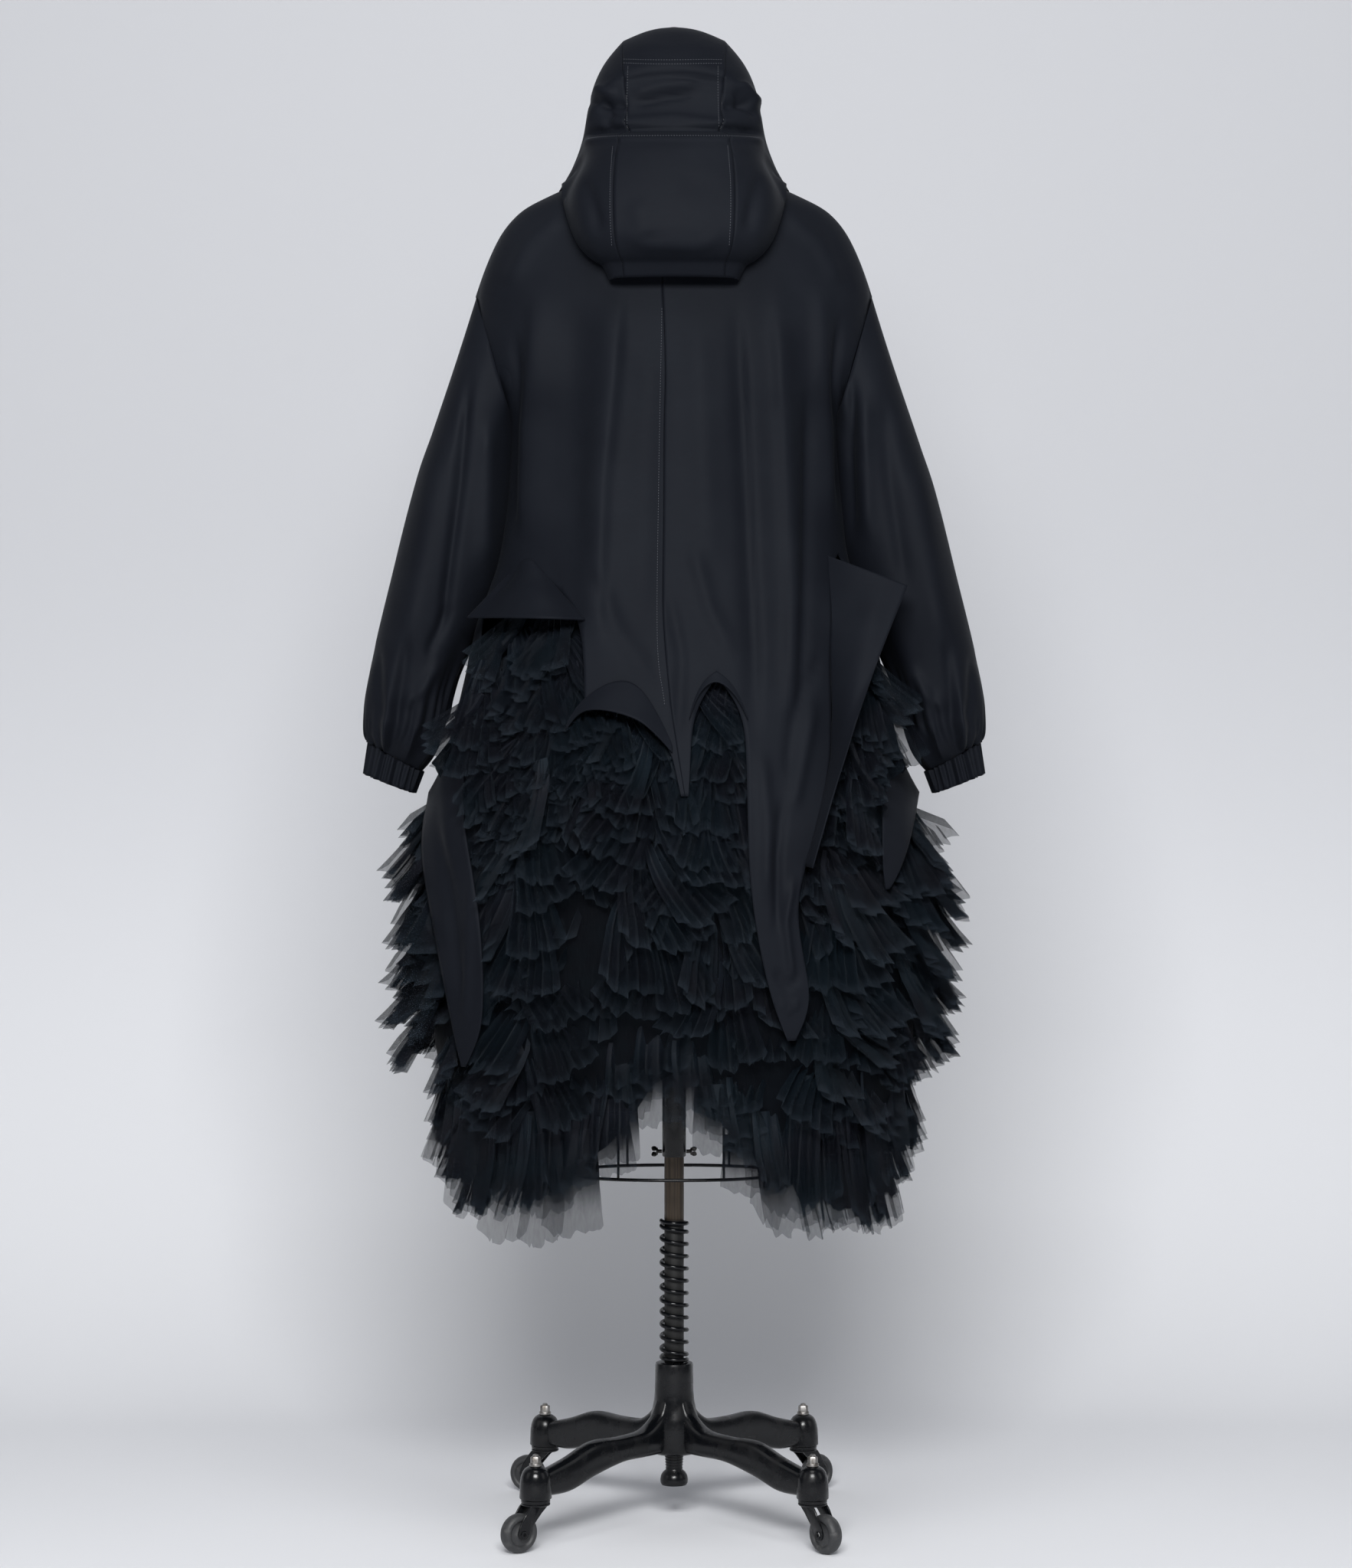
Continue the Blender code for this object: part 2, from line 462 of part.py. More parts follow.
def part_columns(grid, first, last, gap=SEAM_GAP):
    """Columns first to last of a grid, its two edges drawn in by half a seam gap."""
    piece = grid[:, first:last + 1].copy()
    for edge, inner in ((0, 1), (-1, -2)):
        inward = piece[:, inner] - piece[:, edge]
        piece[:, edge] += inward / np.linalg.norm(inward, axis=1, keepdims=True) * gap / 2.0
    return piece


def ring_solid(name, rings, finish):
    """A closed solid through rings of equal count, capped flat at both ends."""
    count = len(rings[0])
    points = [point for ring in rings for point in ring]
    faces = []
    for level in range(len(rings) - 1):
        for side in range(count):
            after = (side + 1) % count
            low, high = level * count, (level + 1) * count
            faces.append([low + side, low + after, high + after, high + side])
    faces.append(list(range(count))[::-1])
    faces.append([(len(rings) - 1) * count + side for side in range(count)])
    return add_piece(name, points, faces, finish)


def turned_mesh(profile, sides, centre=(0.0, 0.0), start=0.0):
    """Points and faces of a turned profile. A profile off the axis makes a ring with a bore."""
    bored = profile[0].radius > 0.0
    stations = profile if bored else profile[1:-1]
    points, faces = [], []
    for station in stations:
        for side in range(sides):
            turn = 2.0 * math.pi * (side + start) / sides
            points.append((centre[0] + station.radius * math.cos(turn),
                           centre[1] + station.radius * math.sin(turn), station.z))
    count = len(stations)
    for level in range(count if bored else count - 1):
        below = (level + 1) % count
        for side in range(sides):
            after = (side + 1) % sides
            faces.append([level * sides + side, level * sides + after,
                          below * sides + after, below * sides + side])
    if not bored:
        faces.append(list(reversed(range(sides))))
        faces.append([(count - 1) * sides + side for side in range(sides)])
    return points, faces


def swept_mesh(path, radius, sides, closed=False):
    """Points and faces of a round bar that follows a path."""
    path = np.asarray(path, float)
    if closed:
        along = np.roll(path, -1, axis=0) - np.roll(path, 1, axis=0)
    else:
        along = np.gradient(path, axis=0)
    along /= np.linalg.norm(along, axis=1, keepdims=True)
    lift = np.array([0.0, 0.0, 1.0])
    if abs(along[0] @ lift) > 0.9:
        lift = np.array([1.0, 0.0, 0.0])
    points, faces = [], []
    for spot, ahead in zip(path, along):
        side_way = np.cross(ahead, lift)
        side_way /= np.linalg.norm(side_way)
        up_way = np.cross(side_way, ahead)
        for side in range(sides):
            turn = 2.0 * math.pi * side / sides
            points.append(spot + radius * (math.cos(turn) * side_way + math.sin(turn) * up_way))
    count = len(path)
    for level in range(count if closed else count - 1):
        above = (level + 1) % count
        for side in range(sides):
            after = (side + 1) % sides
            faces.append([level * sides + side, above * sides + side,
                          above * sides + after, level * sides + after])
    if not closed:
        faces.append(list(range(sides)))
        faces.append([(count - 1) * sides + side for side in reversed(range(sides))])
    return points, faces


def unite(piece, others):
    """Joins helper solids to a piece for good and hides the helpers."""
    for other in others:
        join = piece.modifiers.new(other.name, "BOOLEAN")
        join.operation = "UNION"
        join.solver = "EXACT"
        join.object = other
        other.hide_render = True
        other.display_type = "WIRE"
    return piece


# ---------------------------------------------------------------- the coat's body
def armhole_x(z):
    """How far out the armhole seam lies at height z."""
    return float(np.interp(z, [ARMHOLE_LOW.z, ARMHOLE_TOP.z], [ARMHOLE_LOW.x, ARMHOLE_TOP.x]))


def end_angle(z):
    """The angle where a panel ends above the hips: a seam at the side, or the armhole."""
    if ARMHOLE_LOW.z < z < ARMHOLE_TOP.z:
        return angle_at(COAT, z, armhole_x(z))
    return 90.0


def ridge_share(z):
    """How much of a fold's height shows at height z."""
    return float(np.interp(z, [1.17, 1.26, 1.45, 1.62], [0.0, 0.9, 1.0, 0.0]))


def armhole_normal(side):
    """The direction out of the armhole towards the sleeve."""
    drop = ARMHOLE_TOP.z - ARMHOLE_LOW.z
    reach = ARMHOLE_TOP.x - ARMHOLE_LOW.x
    return np.array([side * drop, 0.0, -reach]) / math.hypot(drop, reach)


def panel_point(z, angle, ridge):
    """A point of the coat's outer face and the way its wall goes in."""
    return section_point(COAT, z, angle, ridge * ridge_share(z)), section_normal(COAT, z, angle)


def back_grid(lines, side):
    """Outer points of one half of the back, their directions, and which of them are cloth."""
    lower = max(len(line.points) for line in lines)
    rows = len(UPPER_ROWS) + lower
    grid = np.zeros((rows, len(lines), 3))
    outward = np.zeros_like(grid)
    have = np.zeros((rows, len(lines)), bool)
    for column, line in enumerate(lines):
        hip_z, hip_x = line.points[0]
        share = angle_at(COAT, hip_z, hip_x) / 90.0
        places = [(z, share * end_angle(z)) for z in UPPER_ROWS]
        places += [(z, angle_at(COAT, z, x)) for z, x in line.points]
        for row, (z, angle) in enumerate(places):
            grid[row, column], outward[row, column] = panel_point(z, angle, line.ridge)
            have[row, column] = True
        grid[len(places):, column] = grid[len(places) - 1, column]
        outward[len(places):, column] = outward[len(places) - 1, column]
    for row, z in enumerate(UPPER_ROWS):
        if ARMHOLE_LOW.z < z < ARMHOLE_TOP.z:
            outward[row, -1:] = flatten_to_plane(outward[row, -1:], armhole_normal(side))
    return grid, outward, have


def back_panel(name, lines, side):
    """One half of the back with its tails, cut away above the openings."""
    grid, outward, have = back_grid(lines, side)
    keep = have[:-1, :-1] & have[1:, :-1] & have[:-1, 1:] & have[1:, 1:]
    edged = part_columns(grid, 0, len(lines) - 1)
    return cloth_wall(name, edged, outward, COAT_WALL, GABARDINE, keep)


def front_grid(side):
    """Outer points of one front, from the centre to the side seam, and their directions."""
    heights = UPPER_ROWS + FRONT_ROWS
    grid = np.zeros((len(heights), len(FRONT_ANGLES), 3))
    outward = np.zeros_like(grid)
    for row, z in enumerate(heights):
        ends = 180.0 - end_angle(z)
        for column, (angle, ridge) in enumerate(zip(FRONT_ANGLES, FRONT_RIDGE)):
            share = (180.0 - angle) / 90.0
            place = side * (180.0 - share * (180.0 - ends))
            grid[row, column], outward[row, column] = panel_point(z, place, ridge)
        if ARMHOLE_LOW.z < z < ARMHOLE_TOP.z:
            outward[row, -1:] = flatten_to_plane(outward[row, -1:], armhole_normal(side))
    return grid, outward


def front_panel(name, side):
    """One front, plain, from the shoulder to a level hem."""
    grid, outward = front_grid(side)
    edges = part_columns(grid, 0, len(FRONT_ANGLES) - 1)
    return cloth_wall(name, edges, outward, COAT_WALL, GABARDINE)


def placket_strip():
    """A fly strip that lies over the centre-front closing."""
    halves = [front_grid(side) for side in (1, -1)]
    grid = np.stack([halves[0][0][1:, 1], halves[0][0][1:, 0], halves[1][0][1:, 1]], axis=1)
    outward = np.stack([halves[0][1][1:, 1], halves[0][1][1:, 0], halves[1][1][1:, 1]], axis=1)
    return cloth_wall("placket", grid + outward * LAID_ON, outward, COAT_WALL, GABARDINE)


# ---------------------------------------------------------------- sleeves and cuffs
def armhole_ring(side, clear):
    """Points round the armhole, a clearance away from the body's cut edge."""
    middle = (ARMHOLE_TOP.z + ARMHOLE_LOW.z) / 2.0
    half = (ARMHOLE_TOP.z - ARMHOLE_LOW.z) / 2.0
    ring = []
    for step in range(SLEEVE_SIDES):
        turn = 2.0 * math.pi * step / SLEEVE_SIDES
        z = middle + half * math.cos(turn)
        ratio = min(1.0, armhole_x(z) / read(COAT, z, "half_width"))
        depth = read(COAT, z, "back" if math.sin(turn) >= 0 else "front")
        y = -depth * (1.0 - ratio ** BODY_POWER) ** (1.0 / BODY_POWER)
        ring.append([side * armhole_x(z), y * math.copysign(1.0, math.sin(turn)), z])
    return np.array(ring) + armhole_normal(side) * clear


def sleeve_ring(row, side, steps, waves, height):
    """One ring of a sleeve or cuff, with its gathers as waves."""
    centre_x, half_x = (row.out_x + row.in_x) / 2.0, (row.out_x - row.in_x) / 2.0
    centre_z, half_z = (row.out_z + row.in_z) / 2.0, (row.out_z - row.in_z) / 2.0
    ring = []
    for step in range(steps):
        turn = 2.0 * math.pi * step / steps
        rise = 1.0 + height / half_x * math.cos(waves * turn)
        far = rise * math.copysign(abs(math.cos(turn)) ** 0.9, math.cos(turn))
        deep = rise * math.copysign(abs(math.sin(turn)) ** 0.9, math.sin(turn))
        ring.append([side * (centre_x + half_x * far), row.shift - row.half_depth * deep,
                     centre_z + half_z * far])
    return np.array(ring)


def ring_plane(row, side):
    """The direction down the sleeve at a ring."""
    across = np.array([side * (row.out_x - row.in_x), 0.0, row.out_z - row.in_z])
    return np.cross(across, [0.0, 1.0, 0.0])


def sleeve(name, side):
    """A full sleeve from the dropped armhole to the gathers above the cuff."""
    rings = [armhole_ring(side, SEAM_GAP)]
    for row in SLEEVE:
        rings.append(sleeve_ring(row, side, SLEEVE_SIDES, SLEEVE_SIDES // 2, row.gather))
    grid = np.stack(rings)
    outward = even_ways(grid, grid.mean(axis=1, keepdims=True), closed=True)
    outward[0] = flatten_to_plane(outward[0], armhole_normal(side))
    outward[-1] = flatten_to_plane(outward[-1], ring_plane(SLEEVE[-1], side))
    return cloth_wall(name, grid, outward, COAT_WALL, GABARDINE, closed=True)


def cuff(name, side):
    """A gathered elastic cuff."""
    steps = CUFF_WAVES * STEPS_PER_WAVE
    grid = np.stack([sleeve_ring(row, side, steps, CUFF_WAVES, CUFF_RIPPLE) for row in CUFF])
    outward = np.stack([flatten_to_plane(ring - ring.mean(axis=0), ring_plane(row, side))
                        for ring, row in zip(grid, CUFF)])
    return cloth_wall(name, grid, outward, COAT_WALL, GABARDINE, closed=True)


# ---------------------------------------------------------------- hood
HOOD_CENTRE_STEPS = 2
HOOD_SIDE_STEPS = 3
HOOD_NECK_STEPS = 3


def neckline_point(angle):
    """A point of the neckline, just above the coat's own neck edge."""
    spot = section_point(COAT, COAT[0].z, angle)
    spot[2] = HOOD_NECK
    return spot


def coat_top(x, y):
    """Height of the coat's shoulder over a point of the plan behind the wearer's middle."""
    low, high = SHOULDER_LOW, COAT[0].z
    for _ in range(HALVINGS):
        z = (low + high) / 2.0
        across = abs(x) / read(COAT, z, "half_width")
        along = abs(y) / read(COAT, z, "back")
        if across ** BODY_POWER + along ** BODY_POWER < 1.0:
            low = z
        else:
            high = z
    return low


def hood_row(row):
    """Half a hood row: from the centre line past the widest point to the neckline."""
    middle = np.array([0.0, row.mid_y, row.mid_z])
    wide = np.array([row.wide_x, row.wide_y, row.wide_z])
    end = neckline_point(row.neck)
    power = 2.0 / row.boxy
    seam_turn = math.asin((row.gusset / row.wide_x) ** (1.0 / power))
    turns = [math.asin((row.gusset * step / HOOD_CENTRE_STEPS / row.wide_x) ** (1.0 / power))
             for step in range(HOOD_CENTRE_STEPS)]
    turns += list(np.linspace(seam_turn, math.pi / 2.0, HOOD_SIDE_STEPS + 1))
    half = []
    for turn in turns:
        across, along = math.sin(turn) ** power, abs(math.cos(turn)) ** power
        spot = wide + (middle - wide) * along
        spot[0] = row.wide_x * across
        half.append(spot)
    knee = (wide + end) / 2.0
    knee[2] += row.lift
    for step in range(1, HOOD_NECK_STEPS):
        share = step / HOOD_NECK_STEPS
        spot = (1 - share) ** 2 * wide + 2 * share * (1 - share) * knee + share ** 2 * end
        spot[2] = max(spot[2], coat_top(spot[0], spot[1]) + HOOD_REST)
        half.append(spot)
    return half + [end]


def hood_neck_row():
    """Half of the last row, which runs along the neckline."""
    count = HOOD_CENTRE_STEPS + HOOD_SIDE_STEPS + HOOD_NECK_STEPS
    return [neckline_point(HOOD[-1].neck * 0.94 * step / count) for step in range(count + 1)]


def seat_on_neck(spots, ways):
    """Raises points of the neckline so that the inner face of the wall clears the coat too."""
    spots[:, 2] += COAT_WALL * np.maximum(ways[:, 2], 0.0)


def hood_pieces():
    """The centre strip and the two sides of the hood."""
    halves = [hood_row(row) for row in HOOD] + [hood_neck_row()]
    flip = np.array([-1.0, 1.0, 1.0])
    grid = np.array([[spot * flip for spot in reversed(half[1:])] + half for half in halves])
    outward = even_ways(grid, HOOD_INSIDE)
    seat_on_neck(grid[-1], outward[-1])
    seat_on_neck(grid[:-1, 0], outward[:-1, 0])
    seat_on_neck(grid[:-1, -1], outward[:-1, -1])
    side_columns = HOOD_SIDE_STEPS + HOOD_NECK_STEPS
    seams = [0, side_columns, side_columns + 2 * HOOD_CENTRE_STEPS, grid.shape[1] - 1]
    names = ["hood_side_left", "hood_centre", "hood_side_right"]
    for name, first, last in zip(names, seams, seams[1:]):
        piece = grid[:, first:last + 1].copy()
        for edge, inner, is_seam in ((0, 1, first > 0), (-1, -2, last < seams[-1])):
            if is_seam:
                inward = piece[:, inner] - piece[:, edge]
                inward /= np.linalg.norm(inward, axis=1, keepdims=True)
                piece[:, edge] += inward * SEAM_GAP / 2.0
        cloth_wall(name, piece, outward[:, first:last + 1], COAT_WALL, GABARDINE)


# ---------------------------------------------------------------- flaps of the back
AWNING_POINT = 0.10
AWNING_ROUND = 0.8
# rows of a turned-out edge, and how far it stands off
CRESCENT_ROWS, CRESCENT_STAND = 3, 0.024
ARCH_ROWS, ARCH_STAND = 2, 0.006


def awning():
    """The triangular flap that stands off above the left opening."""
    rows, columns = 5, 8
    grid = np.zeros((rows, columns, 3))
    for row in range(rows):
        drop = AWNING_POINT + (1.0 - AWNING_POINT) * row / (rows - 1)
        left = np.array(AWNING_APEX) * (1 - drop) + np.array(AWNING_LEFT) * drop
        right = np.array(AWNING_APEX) * (1 - drop) + np.array(AWNING_RIGHT) * drop
        for column in range(columns):
            share = column / (columns - 1)
            x, z = left * (1 - share) + right * share
            stand = AWNING_REACH * drop * math.sin(math.pi * share) ** AWNING_ROUND
            lean = AWNING_LEAN * drop * (1 - share) ** 2
            grid[row, column] = x, back_y(x, z, FLAP_SEAM) - stand - lean, z
    return cloth_wall("flap_left", grid, even_ways(grid, AXIS), COAT_WALL, GABARDINE)


def edge_flap(name, edges, rows, stand):
    """A narrow flap turned out along the edge of an opening."""
    grid = np.zeros((rows, len(edges), 3))
    for column, edge in enumerate(edges):
        share = column / (len(edges) - 1)
        for row in range(rows):
            drop = row / (rows - 1)
            z = edge.top * (1 - drop) + edge.low * drop
            off = stand * drop * math.sin(math.pi * share)
            grid[row, column] = edge.x, back_y(edge.x, z, FLAP_SEAM) - off, z
    return cloth_wall(name, grid, even_ways(grid, AXIS), COAT_WALL, GABARDINE)


def lapel_fold():
    """The edge of the right tail that the lapel is folded along, laid on the tail's face."""
    grid, outward, have = back_grid(BACK_RIGHT, 1)
    column = [line.name for line in BACK_RIGHT].index("lapel_fold")
    edge = (grid + outward * LAPEL_SEAT)[have[:, column], column][::-1]
    heights = [row.fold_z for row in LAPEL]
    return np.stack([np.interp(heights, edge[:, 2], edge[:, axis]) for axis in range(3)], axis=1)


def lapel():
    """The large triangle that is folded out beside the right tail."""
    grid = np.zeros((len(LAPEL), LAPEL_COLUMNS, 3))
    for row, (line, start) in enumerate(zip(LAPEL, lapel_fold())):
        end = np.array([line.free_x, line.free_y, line.free_z])
        bow = LAPEL_BOW * np.linalg.norm(end - start)
        for column in range(LAPEL_COLUMNS):
            share = column / (LAPEL_COLUMNS - 1)
            grid[row, column] = start * (1 - share) + end * share
            grid[row, column, 1] -= bow * math.sin(math.pi * share)
    return cloth_wall("flap_right", grid, even_ways(grid, AXIS), COAT_WALL, GABARDINE)


# ---------------------------------------------------------------- net
def underskirt():
    """The net foundation, a plain flared tube."""
    sides = 18
    angles = [360.0 * side / sides for side in range(sides)]
    grid = np.array([[section_point(NET, row.z, angle) for angle in angles] for row in NET])
    outward = np.array([[section_normal(NET, row.z, angle) for angle in angles] for row in NET])
    return cloth_wall("underskirt", grid, outward, NET_WALL, TULLE, closed=True)


# degrees over which a strip rises from its side edges and from the edges of its opening
CASCADE_EDGE, CASCADE_OPEN = 3.0, 5.0
# share of a fan's drop down to its rim, and share of its reach between two waves
CASCADE_RIM, CASCADE_CALM = 0.80, 0.80
# how much of a tier's ripple the tails press out
PRESS_CALM = 0.75


def cascade_reach(strip, angle):
    """How far a fan may stand out at an angle: free in the opening, low under the cloth."""
    edge = min(1.0, (angle - strip.first) / CASCADE_EDGE, (strip.last - angle) / CASCADE_EDGE)
    free = min(1.0, (angle - strip.open_first) / CASCADE_OPEN, (strip.open_last - angle) / CASCADE_OPEN)
    return CASCADE_HIDDEN * max(0.0, edge) + (strip.reach - CASCADE_HIDDEN) * max(0.0, free)


def cascade(strip):
    """A strip of net fans that stand out one above another from the foundation."""
    columns = strip.waves * STEPS_PER_WAVE
    drop = (strip.top - CASCADE_LOW) / strip.fans
    heights, shares = [strip.top], [0.0]
    for fan in range(strip.fans):
        heights += [strip.top - drop * (fan + CASCADE_RIM), strip.top - drop * (fan + 1.0)]
        shares += [1.0, CASCADE_FOLD]
    heights, shares = heights[:-1], shares[:-1]
    heights[-1] = CASCADE_LOW
    grid = np.zeros((len(heights), columns + 1, 3))
    for row, (z, share) in enumerate(zip(heights, shares)):
        for column in range(columns + 1):
            turn = column / columns
            angle = strip.first + (strip.last - strip.first) * turn
            phase = 2.0 * math.pi * (strip.waves * turn + 0.5 * ((row + 1) // 2))
            wave = CASCADE_CALM + (1.0 - CASCADE_CALM) * math.cos(phase)
            off = cascade_reach(strip, angle) * share * wave
            grid[row, column] = section_point(NET, z, angle, NET_WALL + SEAM_GAP + off)
    return cloth_wall(strip.name, grid, even_ways(grid, AXIS), NET_WALL, TULLE)


def press_share(angle, level):
    """How far the tails press the net flat at an angle: 0 not at all, 1 fully."""
    share = 0.0
    for press in PRESSES:
        if level > press.tiers:
            continue
        strength = PRESS_BELOW if level == press.tiers else 1.0
        inside = min(angle - press.first, press.last - angle)
        share = max(share, strength * min(1.0, max(0.0, inside / PRESS_FADE)))
    return share


def low_hem(x):
    """Height of the lowest hem at a distance from the centre."""
    return float(np.interp(abs(x), [row.x for row in LOW_HEM], [row.z for row in LOW_HEM]))


def tier_hem(tier, level, angle, wave):
    """A point of a tier's hem."""
    turn = math.radians(angle)
    power = 2.0 / BODY_POWER
    x = tier.half_width * math.copysign(abs(math.sin(turn)) ** power, math.sin(turn))
    depth = tier.back if math.cos(turn) >= 0 else tier.front
    y = -depth * math.copysign(abs(math.cos(turn)) ** power, math.cos(turn))
    z = tier.hem or low_hem(x)
    hem = np.array([x, y, z])
    pressed = section_point(NET, z, angle, PRESSED)
    share = press_share(angle, level)
    ripple = section_normal(NET, max(z, NET[-1].z + 0.01), angle) * wave * (1.0 - PRESS_CALM * share)
    ripple[2] = 0.0
    return hem * (1 - share) + pressed * share + ripple * TIER_RIPPLE


def ruffle_tier(level, tier):
    """A gathered tier of net all round, waved at its hem."""
    columns = TIER_WAVES * STEPS_PER_WAVE
    grid = np.zeros((2, columns, 3))
    for column in range(columns):
        angle = 360.0 * column / columns - 180.0
        phase = 2.0 * math.pi * TIER_WAVES * column / columns
        wave = math.cos(phase + math.pi * (level % 2))
        grid[0, column] = section_point(NET, tier.top, angle, TIER_SEAT - TIER_TUCK * math.cos(phase))
        grid[1, column] = tier_hem(tier, level, angle, wave)
    outward = even_ways(grid, AXIS, closed=True)
    return cloth_wall(f"ruffle_tier_{level + 1}", grid, outward, NET_WALL, TULLE, closed=True)


# ---------------------------------------------------------------- dress form
def form_torso():
    """The smooth form under the coat, closed at the hip and at the neck."""
    sides = 16
    rings = [[section_point(TORSO, row.z, 360.0 * side / sides) for side in range(sides)]
             for row in TORSO]
    return ring_solid("form_torso", rings, COVER)


def head_block():
    """A plain egg that carries the hood and stands on the neck."""
    sides = 12
    low, top = NECK_TOP + SEAM_GAP, CROWN_TOP - COAT_WALL - HEAD_SEAT
    floor_rise, top_rise = math.sin(math.radians(HEAD_LEVELS[0])), math.sin(math.radians(HEAD_LEVELS[-1]))
    rings = []
    for level in HEAD_LEVELS:
        rise, reach = math.sin(math.radians(level)), math.cos(math.radians(level))
        z = low + (top - low) * (rise - floor_rise) / (top_rise - floor_rise)
        rings.append([(HEAD_HALF_WIDTH * reach * math.sin(2.0 * math.pi * side / sides),
                       HEAD_Y - HEAD_HALF_DEPTH * reach * math.cos(2.0 * math.pi * side / sides), z)
                      for side in range(sides)])
    return ring_solid("head_block", rings, COVER)


# gap that touching solids keep, and how far a stave's foot goes into the ring's wire
TOUCH, STAVE_SINK = 0.0003, 0.0006
# a stave rises straight for a height, then draws in sideways and spreads to front or back
STAVE_STRAIGHT, STAVE_INWARD, STAVE_SPREAD = 0.10, 0.93, 1.22


def ring_spot(x, side):
    """A point of the cage's ring with this x, on its front or its back half."""
    ratio = min(1.0, abs(x) / RING_HALF_WIDTH)
    return x, side * RING_HALF_DEPTH * (1.0 - ratio ** BODY_POWER) ** (1.0 / BODY_POWER)


def cage():
    """The wire ring and the staves that rise from it to the form."""
    sides, power = 24, 2.0 / BODY_POWER
    loop = []
    for side in range(sides):
        turn = 2.0 * math.pi * side / sides
        loop.append((RING_HALF_WIDTH * math.copysign(abs(math.cos(turn)) ** power, math.cos(turn)),
                     RING_HALF_DEPTH * math.copysign(abs(math.sin(turn)) ** power, math.sin(turn)),
                     RING_Z))
    ring = add_piece("cage", *swept_mesh(loop, RING_WIRE, 4, closed=True), IRON)
    wires = []
    for number, stave in enumerate(STAVES):
        x, y = ring_spot(stave.x, stave.side)
        inward = TORSO[0].half_width * STAVE_INWARD / RING_HALF_WIDTH
        path = [(x, y, RING_Z - STAVE_SINK), (x, y, RING_Z + STAVE_STRAIGHT),
                (x * inward, y * STAVE_SPREAD, TORSO_BOTTOM - TOUCH)]
        wires.append(add_piece(f"stave_{number}", *swept_mesh(path, STAVE_WIRE, 4), IRON))
    return unite(ring, wires)


# ---------------------------------------------------------------- stand
def form_tube():
    """The tube under the form that slides on the pole."""
    top = TORSO_BOTTOM - TOUCH
    profile = [Turned(TUBE_BORE, top), Turned(TUBE_RADIUS, top),
               Turned(TUBE_RADIUS, TUBE_BOTTOM), Turned(TUBE_BORE, TUBE_BOTTOM)]
    return add_piece("form_tube", *turned_mesh(profile, 16), IRON)


def thumbscrew(name, side):
    """A knobbed screw that clamps the tube to the pole."""
    points, faces = turned_mesh(SCREW, 8)
    placed = [(side * z, x, SCREW_Z + y) for x, y, z in points]
    return add_piece(name, placed, faces, STEEL)


def pole():
    """The wooden pole."""
    profile = [Turned(0.0, POLE_TOP), Turned(POLE_RADIUS, POLE_TOP),
               Turned(POLE_RADIUS, POLE_BOTTOM), Turned(0.0, POLE_BOTTOM)]
    return add_piece("pole", *turned_mesh(profile, 16), WOOD)


def spring():
    """The coil spring round the pole. Its end turns lie flat and the rest climb evenly."""
    per_turn = 8
    low = HUB_TOP + SPRING_WIRE + SEAM_GAP
    high = SPRING_TOP - SPRING_WIRE
    count = int(SPRING_TURNS * per_turn)
    flat = SPRING_WIRE * 2.0 + SEAM_GAP * 3.0
    heights = np.interp(np.arange(count + 1), [0, per_turn, count - per_turn, count],
                        [low, low + flat, high - flat, high])
    path = []
    for step, z in enumerate(heights):
        turn = 2.0 * math.pi * step / per_turn
        path.append((SPRING_RADIUS * math.cos(turn), -SPRING_RADIUS * math.sin(turn), z))
    return add_piece("spring", *swept_mesh(path, SPRING_WIRE, 4), IRON)


# the eight corners of a leg's section, in shares of its half width and half height
BEVEL = 0.55
LEG_CORNERS = [(1.0, BEVEL), (BEVEL, 1.0), (-BEVEL, 1.0), (-1.0, BEVEL),
               (-1.0, -BEVEL), (-BEVEL, -1.0), (BEVEL, -1.0), (1.0, -BEVEL)]
# the caster's race, the side outline of a fork arm, and where arm and axle end
RACE_RADIUS, RACE_LOW = 0.0185, 0.0580
ARM_OUTLINE = [(-0.012, 0.0595), (0.013, 0.0595), (0.0320, 0.0310), (0.0320, 0.0210),
               (0.0260, 0.0180), (0.0190, 0.0200)]
ARM_CLEAR, ARM_THICK, AXLE_END = 0.0008, 0.0024, 0.0015
# a wheel's tread edge and flank, in shares of its half width and radius
TREAD_SHARE, FLANK_SHARE = 0.42, 0.80


def leg_solid(name, bearing):
    """One arched leg from the hub out to its bell."""
    out_x, out_y = math.cos(bearing), math.sin(bearing)
    rings = []
    for station in LEG:
        middle, half = (station.top + station.low) / 2.0, (station.top - station.low) / 2.0
        rings.append([(out_x * station.reach - out_y * station.half_width * across,
                       out_y * station.reach + out_x * station.half_width * across,
                       middle + half * up) for across, up in LEG_CORNERS])
    return ring_solid(name, rings, IRON)


def base():
    """The cast hub with four arched legs that end in bells."""
    hub = add_piece("base", *turned_mesh(HUB, 16), IRON)
    parts = []
    for number in range(4):
        bearing = math.radians(45.0 + 90.0 * number)
        reach = CASTER_SPREAD * math.sqrt(2.0)
        centre = (reach * math.cos(bearing), reach * math.sin(bearing))
        parts.append(leg_solid(f"leg_{number}", bearing))
        parts.append(add_piece(f"bell_{number}", *turned_mesh(BELL, 10, centre), IRON))
    return unite(hub, parts)


def foot():
    """The flared foot at the lower end of the pole."""
    return add_piece("foot", *turned_mesh(FOOT, 12), IRON)


